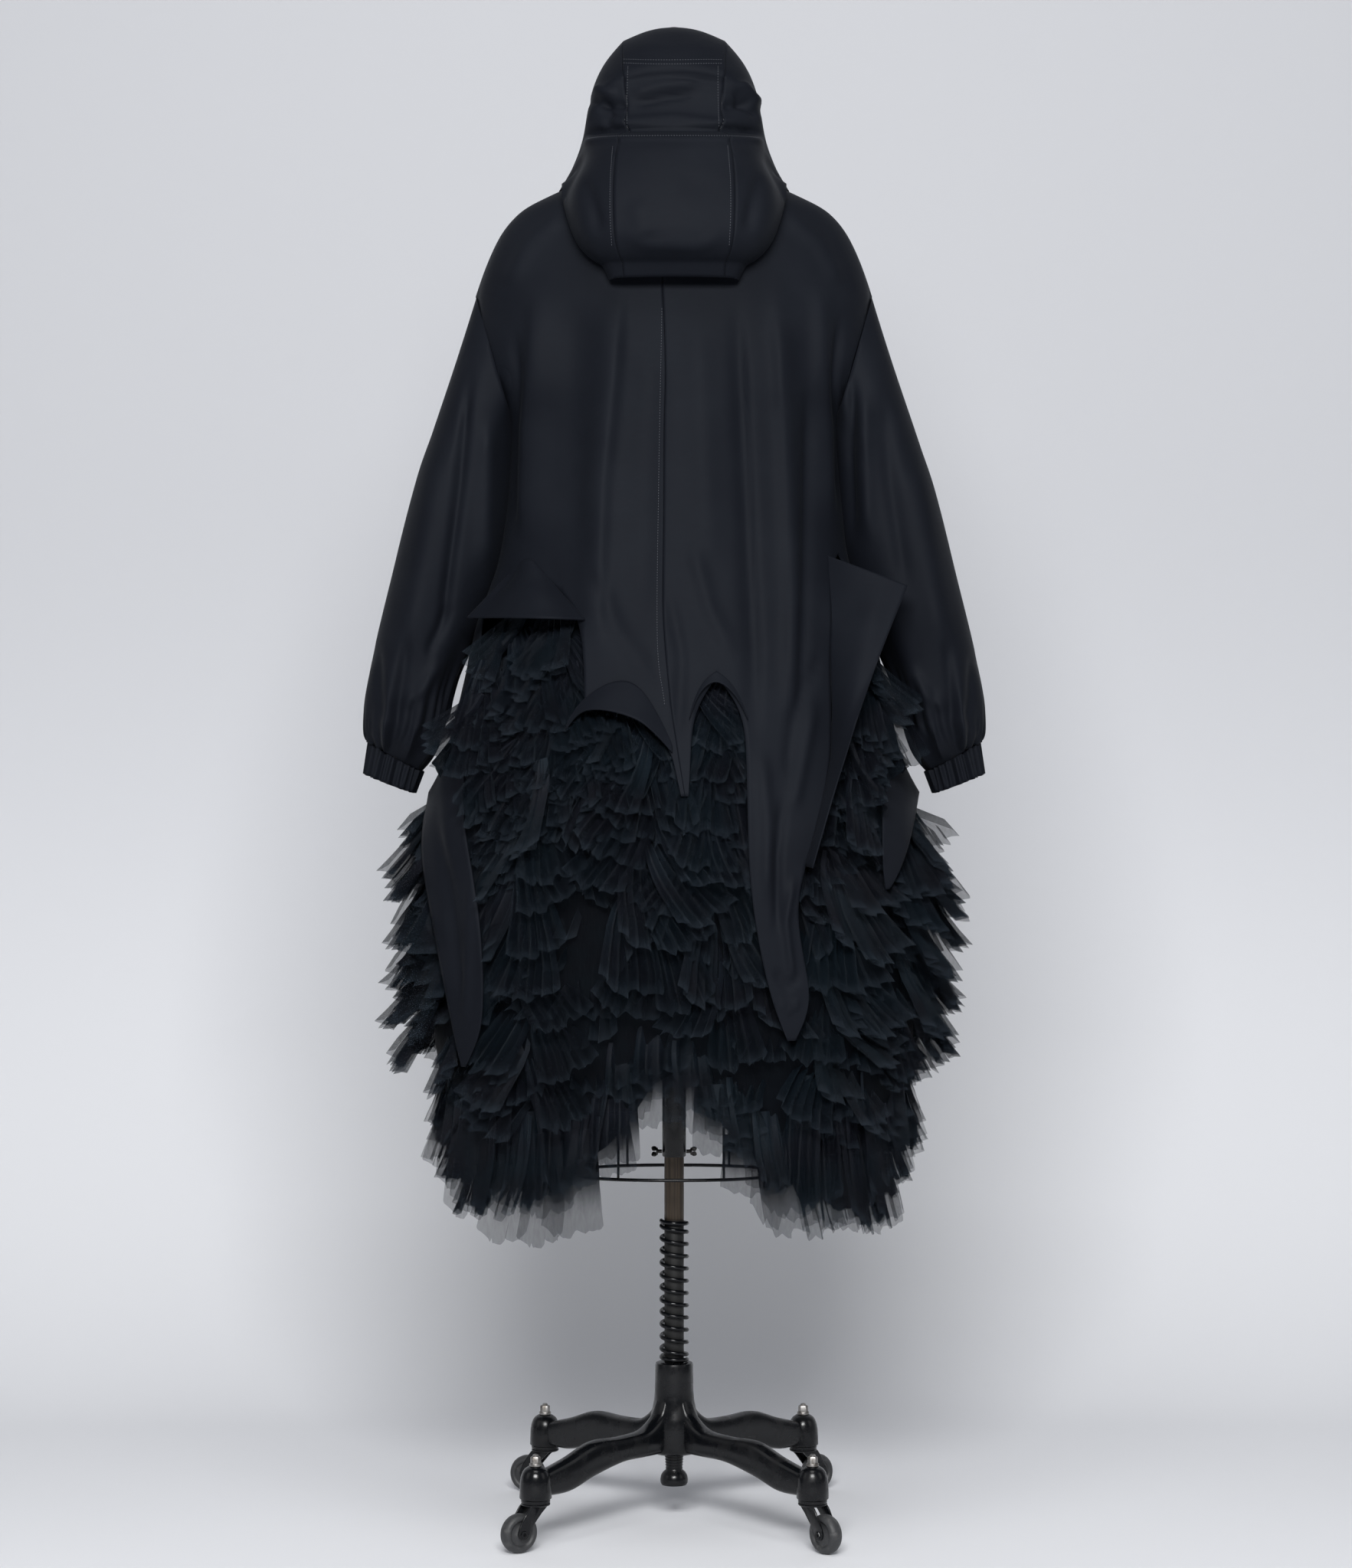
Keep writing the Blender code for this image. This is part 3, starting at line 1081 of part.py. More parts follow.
def fork_solids():
    """The caster fork about its own upright axis: a race, two arms and an axle."""
    race = [Turned(0.0, BELL_LOW - TOUCH), Turned(RACE_RADIUS, BELL_LOW - TOUCH),
            Turned(RACE_RADIUS, RACE_LOW), Turned(0.0, RACE_LOW)]
    yield turned_mesh(race, 10)
    inner = WHEEL_WIDTH / 2.0 + ARM_CLEAR
    outer = inner + ARM_THICK
    for side in (1, -1):
        points = [(x, side * offset, z) for offset in (inner, outer) for x, z in ARM_OUTLINE]
        count = len(ARM_OUTLINE)
        faces = [[step, (step + 1) % count, count + (step + 1) % count, count + step]
                 for step in range(count)]
        faces += [list(reversed(range(count))), [count + step for step in range(count)]]
        yield points, faces
    reach = outer + AXLE_END
    yield swept_mesh([(CASTER_TRAIL, -reach, WHEEL_RADIUS), (CASTER_TRAIL, 0.0, WHEEL_RADIUS),
                      (CASTER_TRAIL, reach, WHEEL_RADIUS)], AXLE_RADIUS, 8)


def wheel_mesh():
    """A wheel about a level axis, with a bore and one flat facet straight below."""
    corner = WHEEL_RADIUS / math.cos(math.pi / WHEEL_SIDES)
    half = WHEEL_WIDTH / 2.0
    bore = WHEEL_BORE / math.cos(math.pi / WHEEL_SIDES)
    flank, tread = corner * FLANK_SHARE, half * TREAD_SHARE
    profile = [Turned(bore, half), Turned(flank, half), Turned(corner, tread),
               Turned(corner, -tread), Turned(flank, -half), Turned(bore, -half)]
    points, faces = turned_mesh(profile, WHEEL_SIDES, start=0.5)
    return [(x, z, y) for x, y, z in points], faces


def casters():
    """Four casters: bolt, fork and wheel, each turned to its own heading."""
    for spot in CASTERS:
        steer = bpy.data.objects.new(f"steer_{spot.name}", None)
        steer.location = (spot.x, spot.y, 0.0)
        steer.rotation_euler = (0.0, 0.0, math.radians(spot.heading))
        bpy.context.scene.collection.objects.link(steer)
        bolt = add_piece(f"bolt_{spot.name}", *turned_mesh(BOLT, 6), STEEL)
        bolt.location = (spot.x, spot.y, 0.0)
        names = [f"fork_{spot.name}", f"arm_a_{spot.name}", f"arm_b_{spot.name}", f"axle_{spot.name}"]
        solids = [add_piece(name, *solid, IRON) for name, solid in zip(names, fork_solids())]
        for solid in solids:
            solid.parent = steer
        unite(solids[0], solids[1:])
        wheel = add_piece(f"wheel_{spot.name}", *wheel_mesh(), RUBBER)
        wheel.location = (CASTER_TRAIL, 0.0, WHEEL_RADIUS)
        wheel.parent = steer


# ---------------------------------------------------------------- assembly
def clear_scene():
    """Removes every object of the open file."""
    for item in list(bpy.data.objects):
        bpy.data.objects.remove(item, do_unlink=True)


def coat():
    """Every cloth piece of the coat."""
    back_panel("back_left", BACK_LEFT, -1)
    back_panel("back_right", BACK_RIGHT, 1)
    front_panel("front_left", -1)
    front_panel("front_right", 1)
    placket_strip()
    for word, side in (("left", -1), ("right", 1)):
        sleeve(f"sleeve_{word}", side)
        cuff(f"cuff_{word}", side)
    hood_pieces()
    awning()
    edge_flap("flap_mid_left", CRESCENT, CRESCENT_ROWS, CRESCENT_STAND)
    edge_flap("flap_mid_right", ARCH_RIM, ARCH_ROWS, ARCH_STAND)
    lapel()
    underskirt()
    for strip in CASCADES:
        cascade(strip)
    for level, tier in enumerate(TIERS):
        ruffle_tier(level, tier)


def form_and_stand():
    """The dress form, its cage and the stand."""
    form_torso()
    head_block()
    cage()
    form_tube()
    thumbscrew("thumbscrew_left", -1)
    thumbscrew("thumbscrew_right", 1)
    pole()
    spring()
    base()
    foot()
    casters()


def main():
    clear_scene()
    coat()
    form_and_stand()


main()
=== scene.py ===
"""Looks of a ruffled coat on a limbless dress form with a caster stand.

The coat is a black hooded gabardine coat whose back opens in turned-out flaps, with
gathered tulle pouring from the openings and standing all round the hem. Metres, +Z up,
the wearer's right is +X and the coat's back faces -Y.
"""

from __future__ import annotations

import json
import logging
import math
import random
from collections.abc import Callable, Iterable, Mapping, Sequence
from dataclasses import dataclass, field
from enum import Enum
from typing import Any

import bmesh
import bpy
import numpy as np
from mathutils import Matrix, Vector
from mathutils.bvhtree import BVHTree

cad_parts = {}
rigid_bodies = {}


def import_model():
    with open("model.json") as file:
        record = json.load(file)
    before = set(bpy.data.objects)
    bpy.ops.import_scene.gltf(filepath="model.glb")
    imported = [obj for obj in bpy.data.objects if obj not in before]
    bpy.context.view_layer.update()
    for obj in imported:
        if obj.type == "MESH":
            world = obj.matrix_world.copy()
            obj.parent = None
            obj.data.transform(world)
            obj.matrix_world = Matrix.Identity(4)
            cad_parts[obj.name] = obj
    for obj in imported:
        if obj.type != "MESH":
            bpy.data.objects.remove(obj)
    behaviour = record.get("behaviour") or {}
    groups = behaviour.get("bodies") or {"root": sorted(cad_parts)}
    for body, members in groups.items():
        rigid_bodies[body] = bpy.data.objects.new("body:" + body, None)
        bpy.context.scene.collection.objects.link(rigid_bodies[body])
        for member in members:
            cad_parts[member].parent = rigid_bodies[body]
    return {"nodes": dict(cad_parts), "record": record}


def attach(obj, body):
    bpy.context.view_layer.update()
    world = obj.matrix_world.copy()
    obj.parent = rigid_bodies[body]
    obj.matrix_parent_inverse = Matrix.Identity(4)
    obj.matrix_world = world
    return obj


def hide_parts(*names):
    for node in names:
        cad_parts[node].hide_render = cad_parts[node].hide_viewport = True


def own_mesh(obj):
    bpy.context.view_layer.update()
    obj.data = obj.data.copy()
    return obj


LOG = logging.getLogger("ruffled_coat")
Point = tuple[float, float, float]
Colour = Point
Spot = tuple[float, float]
Way = Callable[[np.ndarray], np.ndarray]

BODY_POWER = 2.3
CREASE = 50.0
MERGED = 2e-5
FLAT_FACES = 30.0
FLAT_SHAPES = 70.0
DRAPE_WAVES = 7


# ---------------------------------------------------------------- node trees
class Term:
    """A socket that takes part in arithmetic: each operator adds one Math node."""

    def __init__(self, graph: "Graph", socket: bpy.types.NodeSocket) -> None:
        """Wraps a socket of a graph."""
        self.graph = graph
        self.socket = socket

    def _join(self, operation: str, first: Any, second: Any) -> "Term":
        """Adds a Math node.

        Args:
            operation: The Math node's operation.
            first: Its first value, a term or a number.
            second: Its second value, a term or a number.

        Returns:
            The node's result.
        """
        return self.graph.term("ShaderNodeMath", {"operation": operation}, {0: first, 1: second})

    def __add__(self, other: Any) -> "Term":
        """self + other."""
        return self._join("ADD", self, other)

    __radd__ = __add__

    def __sub__(self, other: Any) -> "Term":
        """self - other."""
        return self._join("SUBTRACT", self, other)

    def __rsub__(self, other: Any) -> "Term":
        """other - self."""
        return self._join("SUBTRACT", other, self)

    def __mul__(self, other: Any) -> "Term":
        """self * other."""
        return self._join("MULTIPLY", self, other)

    __rmul__ = __mul__

    def __pow__(self, other: Any) -> "Term":
        """self ** other."""
        return self._join("POWER", self, other)

    def sine(self) -> "Term":
        """The sine of the value."""
        return self._join("SINE", self, 0.0)

    def zigzag(self) -> "Term":
        """A zigzag from -1 to 1 with a fold at each whole number."""
        return self._join("PINGPONG", self, 1.0) * 2.0 - 1.0

    def ease(self, low: float, high: float) -> "Term":
        """A soft step from 0 at low to 1 at high."""
        return self.graph.term("ShaderNodeMapRange", {"interpolation_type": "SMOOTHSTEP"},
                               {0: self, 1: low, 2: high, 3: 0.0, 4: 1.0})


class Graph:
    """Adds nodes to one node tree."""

    def __init__(self, tree: bpy.types.NodeTree) -> None:
        """Works on the given tree."""
        self.tree = tree

    def node(self, kind: str, settings: Mapping[str, Any] | None = None,
             inputs: Mapping[int | str, Any] | None = None) -> bpy.types.Node:
        """Adds one node.

        Args:
            kind: The node's type.
            settings: Its own settings, set before anything is linked.
            inputs: Values, terms or sockets for its inputs, by index or name.

        Returns:
            The new node.
        """
        made = self.tree.nodes.new(kind)
        for name, value in (settings or {}).items():
            setattr(made, name, value)
        for key, value in (inputs or {}).items():
            given = value.socket if isinstance(value, Term) else value
            if isinstance(given, bpy.types.NodeSocket):
                self.tree.links.new(given, made.inputs[key])
            else:
                made.inputs[key].default_value = given
        return made

    def term(self, kind: str, settings: Mapping[str, Any] | None = None,
             inputs: Mapping[int | str, Any] | None = None, output: int | str = 0) -> Term:
        """Adds one node and returns one of its outputs as a term."""
        return Term(self, self.node(kind, settings, inputs).outputs[output])

    def split(self, vector: bpy.types.NodeSocket) -> tuple[Term, Term, Term]:
        """The three parts of a vector."""
        made = self.node("ShaderNodeSeparateXYZ", inputs={0: vector})
        return Term(self, made.outputs[0]), Term(self, made.outputs[1]), Term(self, made.outputs[2])

    def noise(self, where: bpy.types.NodeSocket, scale: float, detail: float = 2.0,
              roughness: float = 0.5) -> Term:
        """Cloudy noise from 0 to 1 at a place."""
        return self.term("ShaderNodeTexNoise", {"noise_dimensions": "3D"},
                         {"Vector": where, "Scale": scale, "Detail": detail, "Roughness": roughness})

    def grain(self, where: bpy.types.NodeSocket, scale: Point, detail: float = 2.0,
              roughness: float = 0.5) -> Term:
        """Noise from 0 to 1 that is drawn out along the axes with a small scale."""
        drawn = self.node("ShaderNodeMapping", {"vector_type": "POINT"},
                          {"Vector": where, "Scale": scale}).outputs[0]
        return self.noise(drawn, 1.0, detail, roughness)


class Surface(Graph):
    """The nodes of one material."""

    def __init__(self, name: str) -> None:
        """Starts an empty material with a Principled shader."""
        self.made = bpy.data.materials.new(name)
        self.made.use_nodes = True
        super().__init__(self.made.node_tree)
        self.shader = self.tree.nodes["Principled BSDF"]

    def place(self) -> bpy.types.NodeSocket:
        """The place on the object."""
        return self.node("ShaderNodeTexCoord").outputs["Object"]

    def stored(self, name: str) -> Term:
        """A value stored on the mesh."""
        return self.term("ShaderNodeAttribute", {"attribute_name": name}, output="Fac")

    def blend(self, share: Any, first: Any, second: Any) -> bpy.types.NodeSocket:
        """A colour from first to second as share goes from 0 to 1."""
        first = (*first, 1.0) if isinstance(first, tuple) else first
        second = (*second, 1.0) if isinstance(second, tuple) else second
        return self.node("ShaderNodeMix", {"data_type": "RGBA"},
                         {0: share, 6: first, 7: second}).outputs[2]

    def bump(self, height: Any, strength: float, distance: float,
             under: bpy.types.NodeSocket | None = None) -> bpy.types.NodeSocket:
        """A relief of the given height, over another relief where one is given."""
        inputs = {"Height": height, "Strength": strength, "Distance": distance}
        if under is not None:
            inputs["Normal"] = under
        return self.node("ShaderNodeBump", inputs=inputs).outputs[0]

    def finish(self, varied: Mapping[str, Any], even: Mapping[str, Any]) -> bpy.types.Material:
        """Links what varies over the surface and sets what is even.

        Args:
            varied: Terms or sockets by the shader's socket name.
            even: Numbers or colours by the shader's socket name.

        Returns:
            The finished material.
        """
        for name, value in varied.items():
            self.tree.links.new(value.socket if isinstance(value, Term) else value,
                                self.shader.inputs[name])
        for name, value in even.items():
            self.shader.inputs[name].default_value = value
        return self.made


class Recipe(Graph):
    """A Geometry Nodes tree with named inputs that turns a host mesh into a piece."""

    def __init__(self, name: str) -> None:
        """Starts an empty tree with geometry in and out."""
        super().__init__(bpy.data.node_groups.new(name, "GeometryNodeTree"))
        face = self.tree.interface
        face.new_socket(name="Geometry", in_out="INPUT", socket_type="NodeSocketGeometry")
        face.new_socket(name="Geometry", in_out="OUTPUT", socket_type="NodeSocketGeometry")
        self.given = self.node("NodeGroupInput")
        self.result = self.node("NodeGroupOutput")
        self.identifiers: dict[str, str] = {}

    def ask(self, name: str, socket_type: str) -> Term:
        """Adds a named input and returns it."""
        item = self.tree.interface.new_socket(name=name, in_out="INPUT", socket_type=socket_type)
        self.identifiers[name] = item.identifier
        return Term(self, self.given.outputs[name])

    def number(self, name: str) -> Term:
        """Adds a named number."""
        return self.ask(name, "NodeSocketFloat")

    def attribute(self, name: str) -> bpy.types.NodeSocket:
        """A vector stored on the host's points."""
        return self.node("GeometryNodeInputNamedAttribute", {"data_type": "FLOAT_VECTOR"},
                         {"Name": name}).outputs[0]

    def end(self, geometry: bpy.types.NodeSocket) -> None:
        """Realizes what was made, gives it its finish and ends the tree."""
        finish = self.ask("Finish", "NodeSocketMaterial")
        real = self.node("GeometryNodeRealizeInstances", inputs={0: geometry}).outputs[0]
        clad = self.node("GeometryNodeSetMaterial", inputs={"Geometry": real, "Material": finish})
        self.tree.links.new(clad.outputs[0], self.result.inputs[0])

    def run(self, host: bpy.types.Object, name: str, values: Mapping[str, Any]) -> bpy.types.Object:
        """Runs the tree on a host and keeps the result as a plain mesh.

        Args:
            host: The object that holds the path or the points. It is removed.
            name: The name of the piece.
            values: A value for each named input.

        Returns:
            The piece, with no modifier left on it.
        """
        modifier = host.modifiers.new("recipe", "NODES")
        modifier.node_group = self.tree
        for label, value in values.items():
            modifier[self.identifiers[label]] = value
        mesh = evaluated(host)
        host.modifiers.remove(modifier)
        bpy.data.objects.remove(host)
        mesh.name = name
        return link_mesh(name, mesh)


# ---------------------------------------------------------------- mesh helpers
def link_mesh(name: str, mesh: bpy.types.Mesh) -> bpy.types.Object:
    """Puts a mesh into the scene as an object at the origin."""
    made = bpy.data.objects.new(name, mesh)
    bpy.context.scene.collection.objects.link(made)
    return made


def evaluated(source: bpy.types.Object) -> bpy.types.Mesh:
    """The mesh of an object with its modifiers applied."""
    bpy.context.view_layer.update()
    graph = bpy.context.evaluated_depsgraph_get()
    return bpy.data.meshes.new_from_object(source.evaluated_get(graph), depsgraph=graph)


def settle(piece: bpy.types.Object) -> bpy.types.Object:
    """Applies every modifier of a piece."""
    mesh = evaluated(piece)
    piece.modifiers.clear()
    piece.data = mesh
    return piece


def corners_of(mesh: bpy.types.Mesh) -> np.ndarray:
    """The mesh's points as an array."""
    flat = np.empty(len(mesh.vertices) * 3, np.float32)
    mesh.vertices.foreach_get("co", flat)
    return flat.reshape(-1, 3).astype(float)


def move_to(mesh: bpy.types.Mesh, points: np.ndarray) -> None:
    """Puts the mesh's points at new places."""
    mesh.vertices.foreach_set("co", points.astype(np.float32).ravel())
    mesh.update()


def shade(piece: bpy.types.Object, sharp: float = 40.0) -> bpy.types.Object:
    """Shades a piece smooth with sharp edges above an angle in degrees."""
    piece.data.shade_smooth()
    piece.data.set_sharp_from_angle(angle=math.radians(sharp))
    return piece


def refined(source: bpy.types.Object, name: str, levels: int,
            material: bpy.types.Material) -> bpy.types.Object:
    """A smooth copy of a frame solid: its doubles merged, its edges kept, its faces refined.

    Args:
        source: The frame's node.
        name: The name of the new piece.
        levels: How often each face is divided.
        material: The piece's finish.

    Returns:
        The new piece, at the node's place.
    """
    build = bmesh.new()
    build.from_mesh(source.data)
    bmesh.ops.remove_doubles(build, verts=build.verts[:], dist=MERGED)
    bmesh.ops.join_triangles(build, faces=build.faces[:], angle_face_threshold=math.radians(FLAT_FACES),
                             angle_shape_threshold=math.radians(FLAT_SHAPES))
    layer = build.edges.layers.float.new("crease_edge")
    for edge in build.edges:
        if len(edge.link_faces) == 2 and edge.calc_face_angle(0.0) > math.radians(CREASE):
            edge[layer] = 1.0
    mesh = bpy.data.meshes.new(name)
    build.to_mesh(mesh)
    build.free()
    piece = link_mesh(name, mesh)
    smooth = piece.modifiers.new("refine", "SUBSURF")
    smooth.levels = smooth.render_levels = levels
    shade(settle(piece), CREASE)
    piece.data.materials.clear()
    piece.data.materials.append(material)
    return piece


@dataclass
class Shells:
    """Closed shells that are gathered into one piece."""

    points: list[Point] = field(default_factory=list)
    faces: list[list[int]] = field(default_factory=list)

    def add(self, points: Iterable[Sequence[float]], faces: Iterable[Sequence[int]]) -> None:
        """Adds one shell."""
        start = len(self.points)
        self.points += [tuple(float(part) for part in point) for point in points]
        self.faces += [[start + corner for corner in face] for face in faces]

    def turned(self, profile: Sequence[Spot], sides: int, centre: Spot = (0.0, 0.0),
               place: Matrix | None = None) -> None:
        """Adds a solid of revolution.

        Args:
            profile: Radius and height of each station. Off the axis it makes a ring with a bore.
            sides: How many sides it has.
            centre: Where its axis stands.
            place: A turn and shift of the whole solid.
        """
        bored = profile[0][0] > 0.0
        stations = profile if bored else profile[1:-1]
        count = len(stations)
        points = [Vector((centre[0] + radius * math.cos(2.0 * math.pi * side / sides),
                          centre[1] + radius * math.sin(2.0 * math.pi * side / sides), z))
                  for radius, z in stations for side in range(sides)]
        faces = []
        for level in range(count if bored else count - 1):
            below = (level + 1) % count
            for side in range(sides):
                after = (side + 1) % sides
                faces.append([level * sides + side, level * sides + after,
                              below * sides + after, below * sides + side])
        if not bored:
            faces.append(list(reversed(range(sides))))
            faces.append([(count - 1) * sides + side for side in range(sides)])
        self.add([place @ point for point in points] if place else points, faces)

    def lofted(self, rings: Sequence[Sequence[Sequence[float]]]) -> None:
        """Adds a closed solid through rings of equal count."""
        count = len(rings[0])
        faces = [[level * count + side, level * count + (side + 1) % count,
                  (level + 1) * count + (side + 1) % count, (level + 1) * count + side]
                 for level in range(len(rings) - 1) for side in range(count)]
        faces.append(list(range(count))[::-1])
        faces.append([(len(rings) - 1) * count + side for side in range(count)])
        self.add([point for ring in rings for point in ring], faces)

    def piece(self, name: str, material: bpy.types.Material, sharp: float = 35.0) -> bpy.types.Object:
        """Makes the piece, with each shell's faces turned outward."""
        build = bmesh.new()
        for point in self.points:
            build.verts.new(point)
        build.verts.ensure_lookup_table()
        for face in self.faces:
            build.faces.new([build.verts[corner] for corner in face])
        bmesh.ops.recalc_face_normals(build, faces=build.faces[:])
        mesh = bpy.data.meshes.new(name)
        build.to_mesh(mesh)
        build.free()
        mesh.materials.append(material)
        return shade(link_mesh(name, mesh), sharp)


def smooth_rows(rows: Sequence[Sequence[float]], steps: int) -> np.ndarray:
    """Rows of numbers joined by a smooth curve through each of them.

    Args:
        rows: The rows that the curve passes.
        steps: How many steps lie between two rows.

    Returns:
        The denser rows.
    """
    table = np.asarray(rows, float)
    padded = np.vstack([2 * table[0] - table[1], table, 2 * table[-1] - table[-2]])
    dense = []
    for index in range(1, len(table)):
        before, start, end, after = padded[index - 1:index + 3]
        for part in range(steps):
            share = part / steps
            dense.append(0.5 * (2 * start + (end - before) * share
                                + (2 * before - 5 * start + 4 * end - after) * share ** 2
                                + (3 * start - before - 3 * end + after) * share ** 3))
    dense.append(table[-1])
    return np.array(dense)


# ---------------------------------------------------------------- forms
def rounded(value: float, power: float) -> float:
    """A number raised to a power, with its sign kept."""
    return math.copysign(abs(value) ** power, value)


def bulge(ratio: float) -> float:
    """How far out a superellipse is, as a share of one half size, at a share of the other."""
    return (1.0 - ratio ** BODY_POWER) ** (1.0 / BODY_POWER)


def step(value: np.ndarray, low: float, high: float) -> np.ndarray:
    """A soft step from 0 at low to 1 at high."""
    share = np.clip((value - low) / (high - low), 0.0, 1.0)
    return share * share * (3.0 - 2.0 * share)


def window(value: np.ndarray, rise: Spot, fall: Spot) -> np.ndarray:
    """A soft step up and, further on, a soft step down."""
    return step(value, *rise) * (1.0 - step(value, *fall))


def jitter(draw: random.Random, reach: float) -> float:
    """A random number between -reach and reach."""
    return draw.uniform(-reach, reach)


@dataclass(frozen=True)
class Outline:
    """A superellipse outline whose size changes with height."""

    rows: tuple[tuple[float, float, float, float], ...]

    def sizes(self, z: np.ndarray | float) -> tuple[np.ndarray, np.ndarray, np.ndarray]:
        """Half width, back depth and front depth at heights z."""
        table = np.array(sorted(self.rows))
        return tuple(np.interp(z, table[:, 0], table[:, column]) for column in (1, 2, 3))

    def point(self, z: float, angle: float) -> np.ndarray:
        """A point of the outline. Angle 0 is the back centre and 90 the right side."""
        wide, back, front = (float(size) for size in self.sizes(z))
        sine, cosine = math.sin(math.radians(angle)), math.cos(math.radians(angle))
        power = 2.0 / BODY_POWER
        return np.array([wide * rounded(sine, power),
                         -(back if cosine >= 0 else front) * rounded(cosine, power), z])

    def outward(self, points: np.ndarray) -> np.ndarray:
        """The level direction out of the outline at each point."""
        wide, back, front = self.sizes(points[:, 2])
        depth = np.where(points[:, 1] < 0, back, front)
        power = BODY_POWER - 1.0
        ways = np.stack([np.sign(points[:, 0]) * np.abs(points[:, 0] / wide) ** power / wide,
                         np.sign(points[:, 1]) * np.abs(points[:, 1] / depth) ** power / depth,
                         np.zeros(len(points))], axis=1)
        return ways / np.maximum(np.linalg.norm(ways, axis=1, keepdims=True), 1e-9)

    def even_angles(self, z: float, count: int) -> list[float]:
        """Angles of points that lie evenly along the outline, from the back centre."""
        angles = np.linspace(0.0, 360.0, 721)
        points = np.array([self.point(z, float(angle)) for angle in angles])
        run = np.concatenate([[0.0], np.cumsum(np.linalg.norm(np.diff(points, axis=0), axis=1))])
        return [float(np.interp(run[-1] * part / count, run, angles)) for part in range(count)]


COAT_FORM = Outline((
    (1.735, 0.1500, 0.085, 0.085), (1.690, 0.2190, 0.111, 0.111), (1.600, 0.2575, 0.131, 0.136),
    (1.460, 0.2400, 0.148, 0.153), (1.350, 0.2125, 0.160, 0.162), (1.225, 0.2285, 0.182, 0.176),
    (1.100, 0.2800, 0.214, 0.203), (1.010, 0.2890, 0.240, 0.226), (0.940, 0.3300, 0.259, 0.247),
    (0.880, 0.3440, 0.266, 0.256), (0.780, 0.3480, 0.272, 0.262), (0.600, 0.3440, 0.272, 0.262)))
NET_FORM = Outline((
    (1.255, 0.2176, 0.1721, 0.1681), (1.170, 0.2360, 0.1760, 0.1700), (1.100, 0.2560, 0.1900, 0.1820),
    (1.020, 0.2640, 0.2060, 0.2000), (0.950, 0.2850, 0.2210, 0.2140), (0.860, 0.3080, 0.2330, 0.2270),
    (0.750, 0.3220, 0.2430, 0.2360), (0.620, 0.3220, 0.2450, 0.2380), (0.500, 0.2860, 0.2320, 0.2260)))
RUFFLE_FORM = Outline((
    (1.200, 0.2500, 0.205, 0.195), (1.050, 0.2900, 0.243, 0.232), (0.985, 0.3140, 0.262, 0.252),
    (0.940, 0.3320, 0.270, 0.262), (0.880, 0.3500, 0.276, 0.270), (0.800, 0.3660, 0.282, 0.276),
    (0.700, 0.3670, 0.284, 0.278), (0.630, 0.3650, 0.282, 0.276), (0.575, 0.3480, 0.278, 0.270),
    (0.520, 0.3400, 0.272, 0.266), (0.450, 0.3180, 0.264, 0.258), (0.370, 0.2960, 0.258, 0.252)))
LOW_HEM = ((0.00, 0.590), (0.035, 0.565), (0.060, 0.520), (0.10, 0.478), (0.135, 0.445), (0.17, 0.410),
           (0.22, 0.404), (0.275, 0.410), (0.2985, 0.446), (0.33, 0.490))


@dataclass(frozen=True)
class Fold:
    """One ridge or crease of the cloth, drawn as it is seen from behind."""

    course: tuple[Spot, ...]
    width: float
    height: float
    fade: float = 0.22
    lean: float = 0.0
    face: float = -1.0

    def lift(self, points: np.ndarray) -> np.ndarray:
        """How far the fold lifts each point.

        Args:
            points: Places on the cloth.

        Returns:
            A height for each place, negative in a crease.
        """
        path = np.asarray(self.course, float)
        flat = points[:, [0, 2]]
        lengths = np.linalg.norm(np.diff(path, axis=0), axis=1)
        total = lengths.sum()
        best = np.full(len(points), np.inf)
        side = np.zeros(len(points))
        share = np.zeros(len(points))
        run = 0.0
        for start, end, length in zip(path, path[1:], lengths):
            along = (end - start) / length
            reach = np.clip((flat - start) @ along, 0.0, length)
            apart = flat - (start + reach[:, None] * along)
            far = np.linalg.norm(apart, axis=1)
            nearer = far < best
            best = np.where(nearer, far, best)
            side = np.where(nearer, apart @ np.array([along[1], -along[0]]), side)
            share = np.where(nearer, (run + reach) / total, share)
            run += length
        wide = self.width * (1.0 + self.lean * np.sign(side))
        rise = np.exp(-(best / wide) ** 2)
        ends = step(np.minimum(share, 1.0 - share), 0.0, self.fade)
        shown = 1.0 if self.face == 0.0 else np.clip(0.5 + points[:, 1] * self.face / 0.02, 0.0, 1.0)
        return self.height * rise * ends * shown


def drape(points: np.ndarray, seed: int, height: float, across: float, along: float) -> np.ndarray:
    """Soft uneven hang of a panel, made of a few long waves.

    Args:
        points: Places on the cloth.
        seed: Which set of waves.
        height: About how high they are.
        across: The usual width of a wave.
        along: The usual length of a wave, upward.

    Returns:
        A lift for each place.
    """
    draw = random.Random(seed)
    lift = np.zeros(len(points))
    for _ in range(DRAPE_WAVES):
        turn = draw.uniform(0.0, 2.0 * math.pi)
        wide = across * draw.uniform(0.7, 1.6)
        high = along * draw.uniform(0.7, 1.8)
        way = np.array([math.cos(turn) / wide, math.sin(turn) / wide, 1.0 / high])
        lift += np.sin(points @ way * 2.0 * math.pi + draw.uniform(0.0, 6.28))
    return lift * height / 4.0


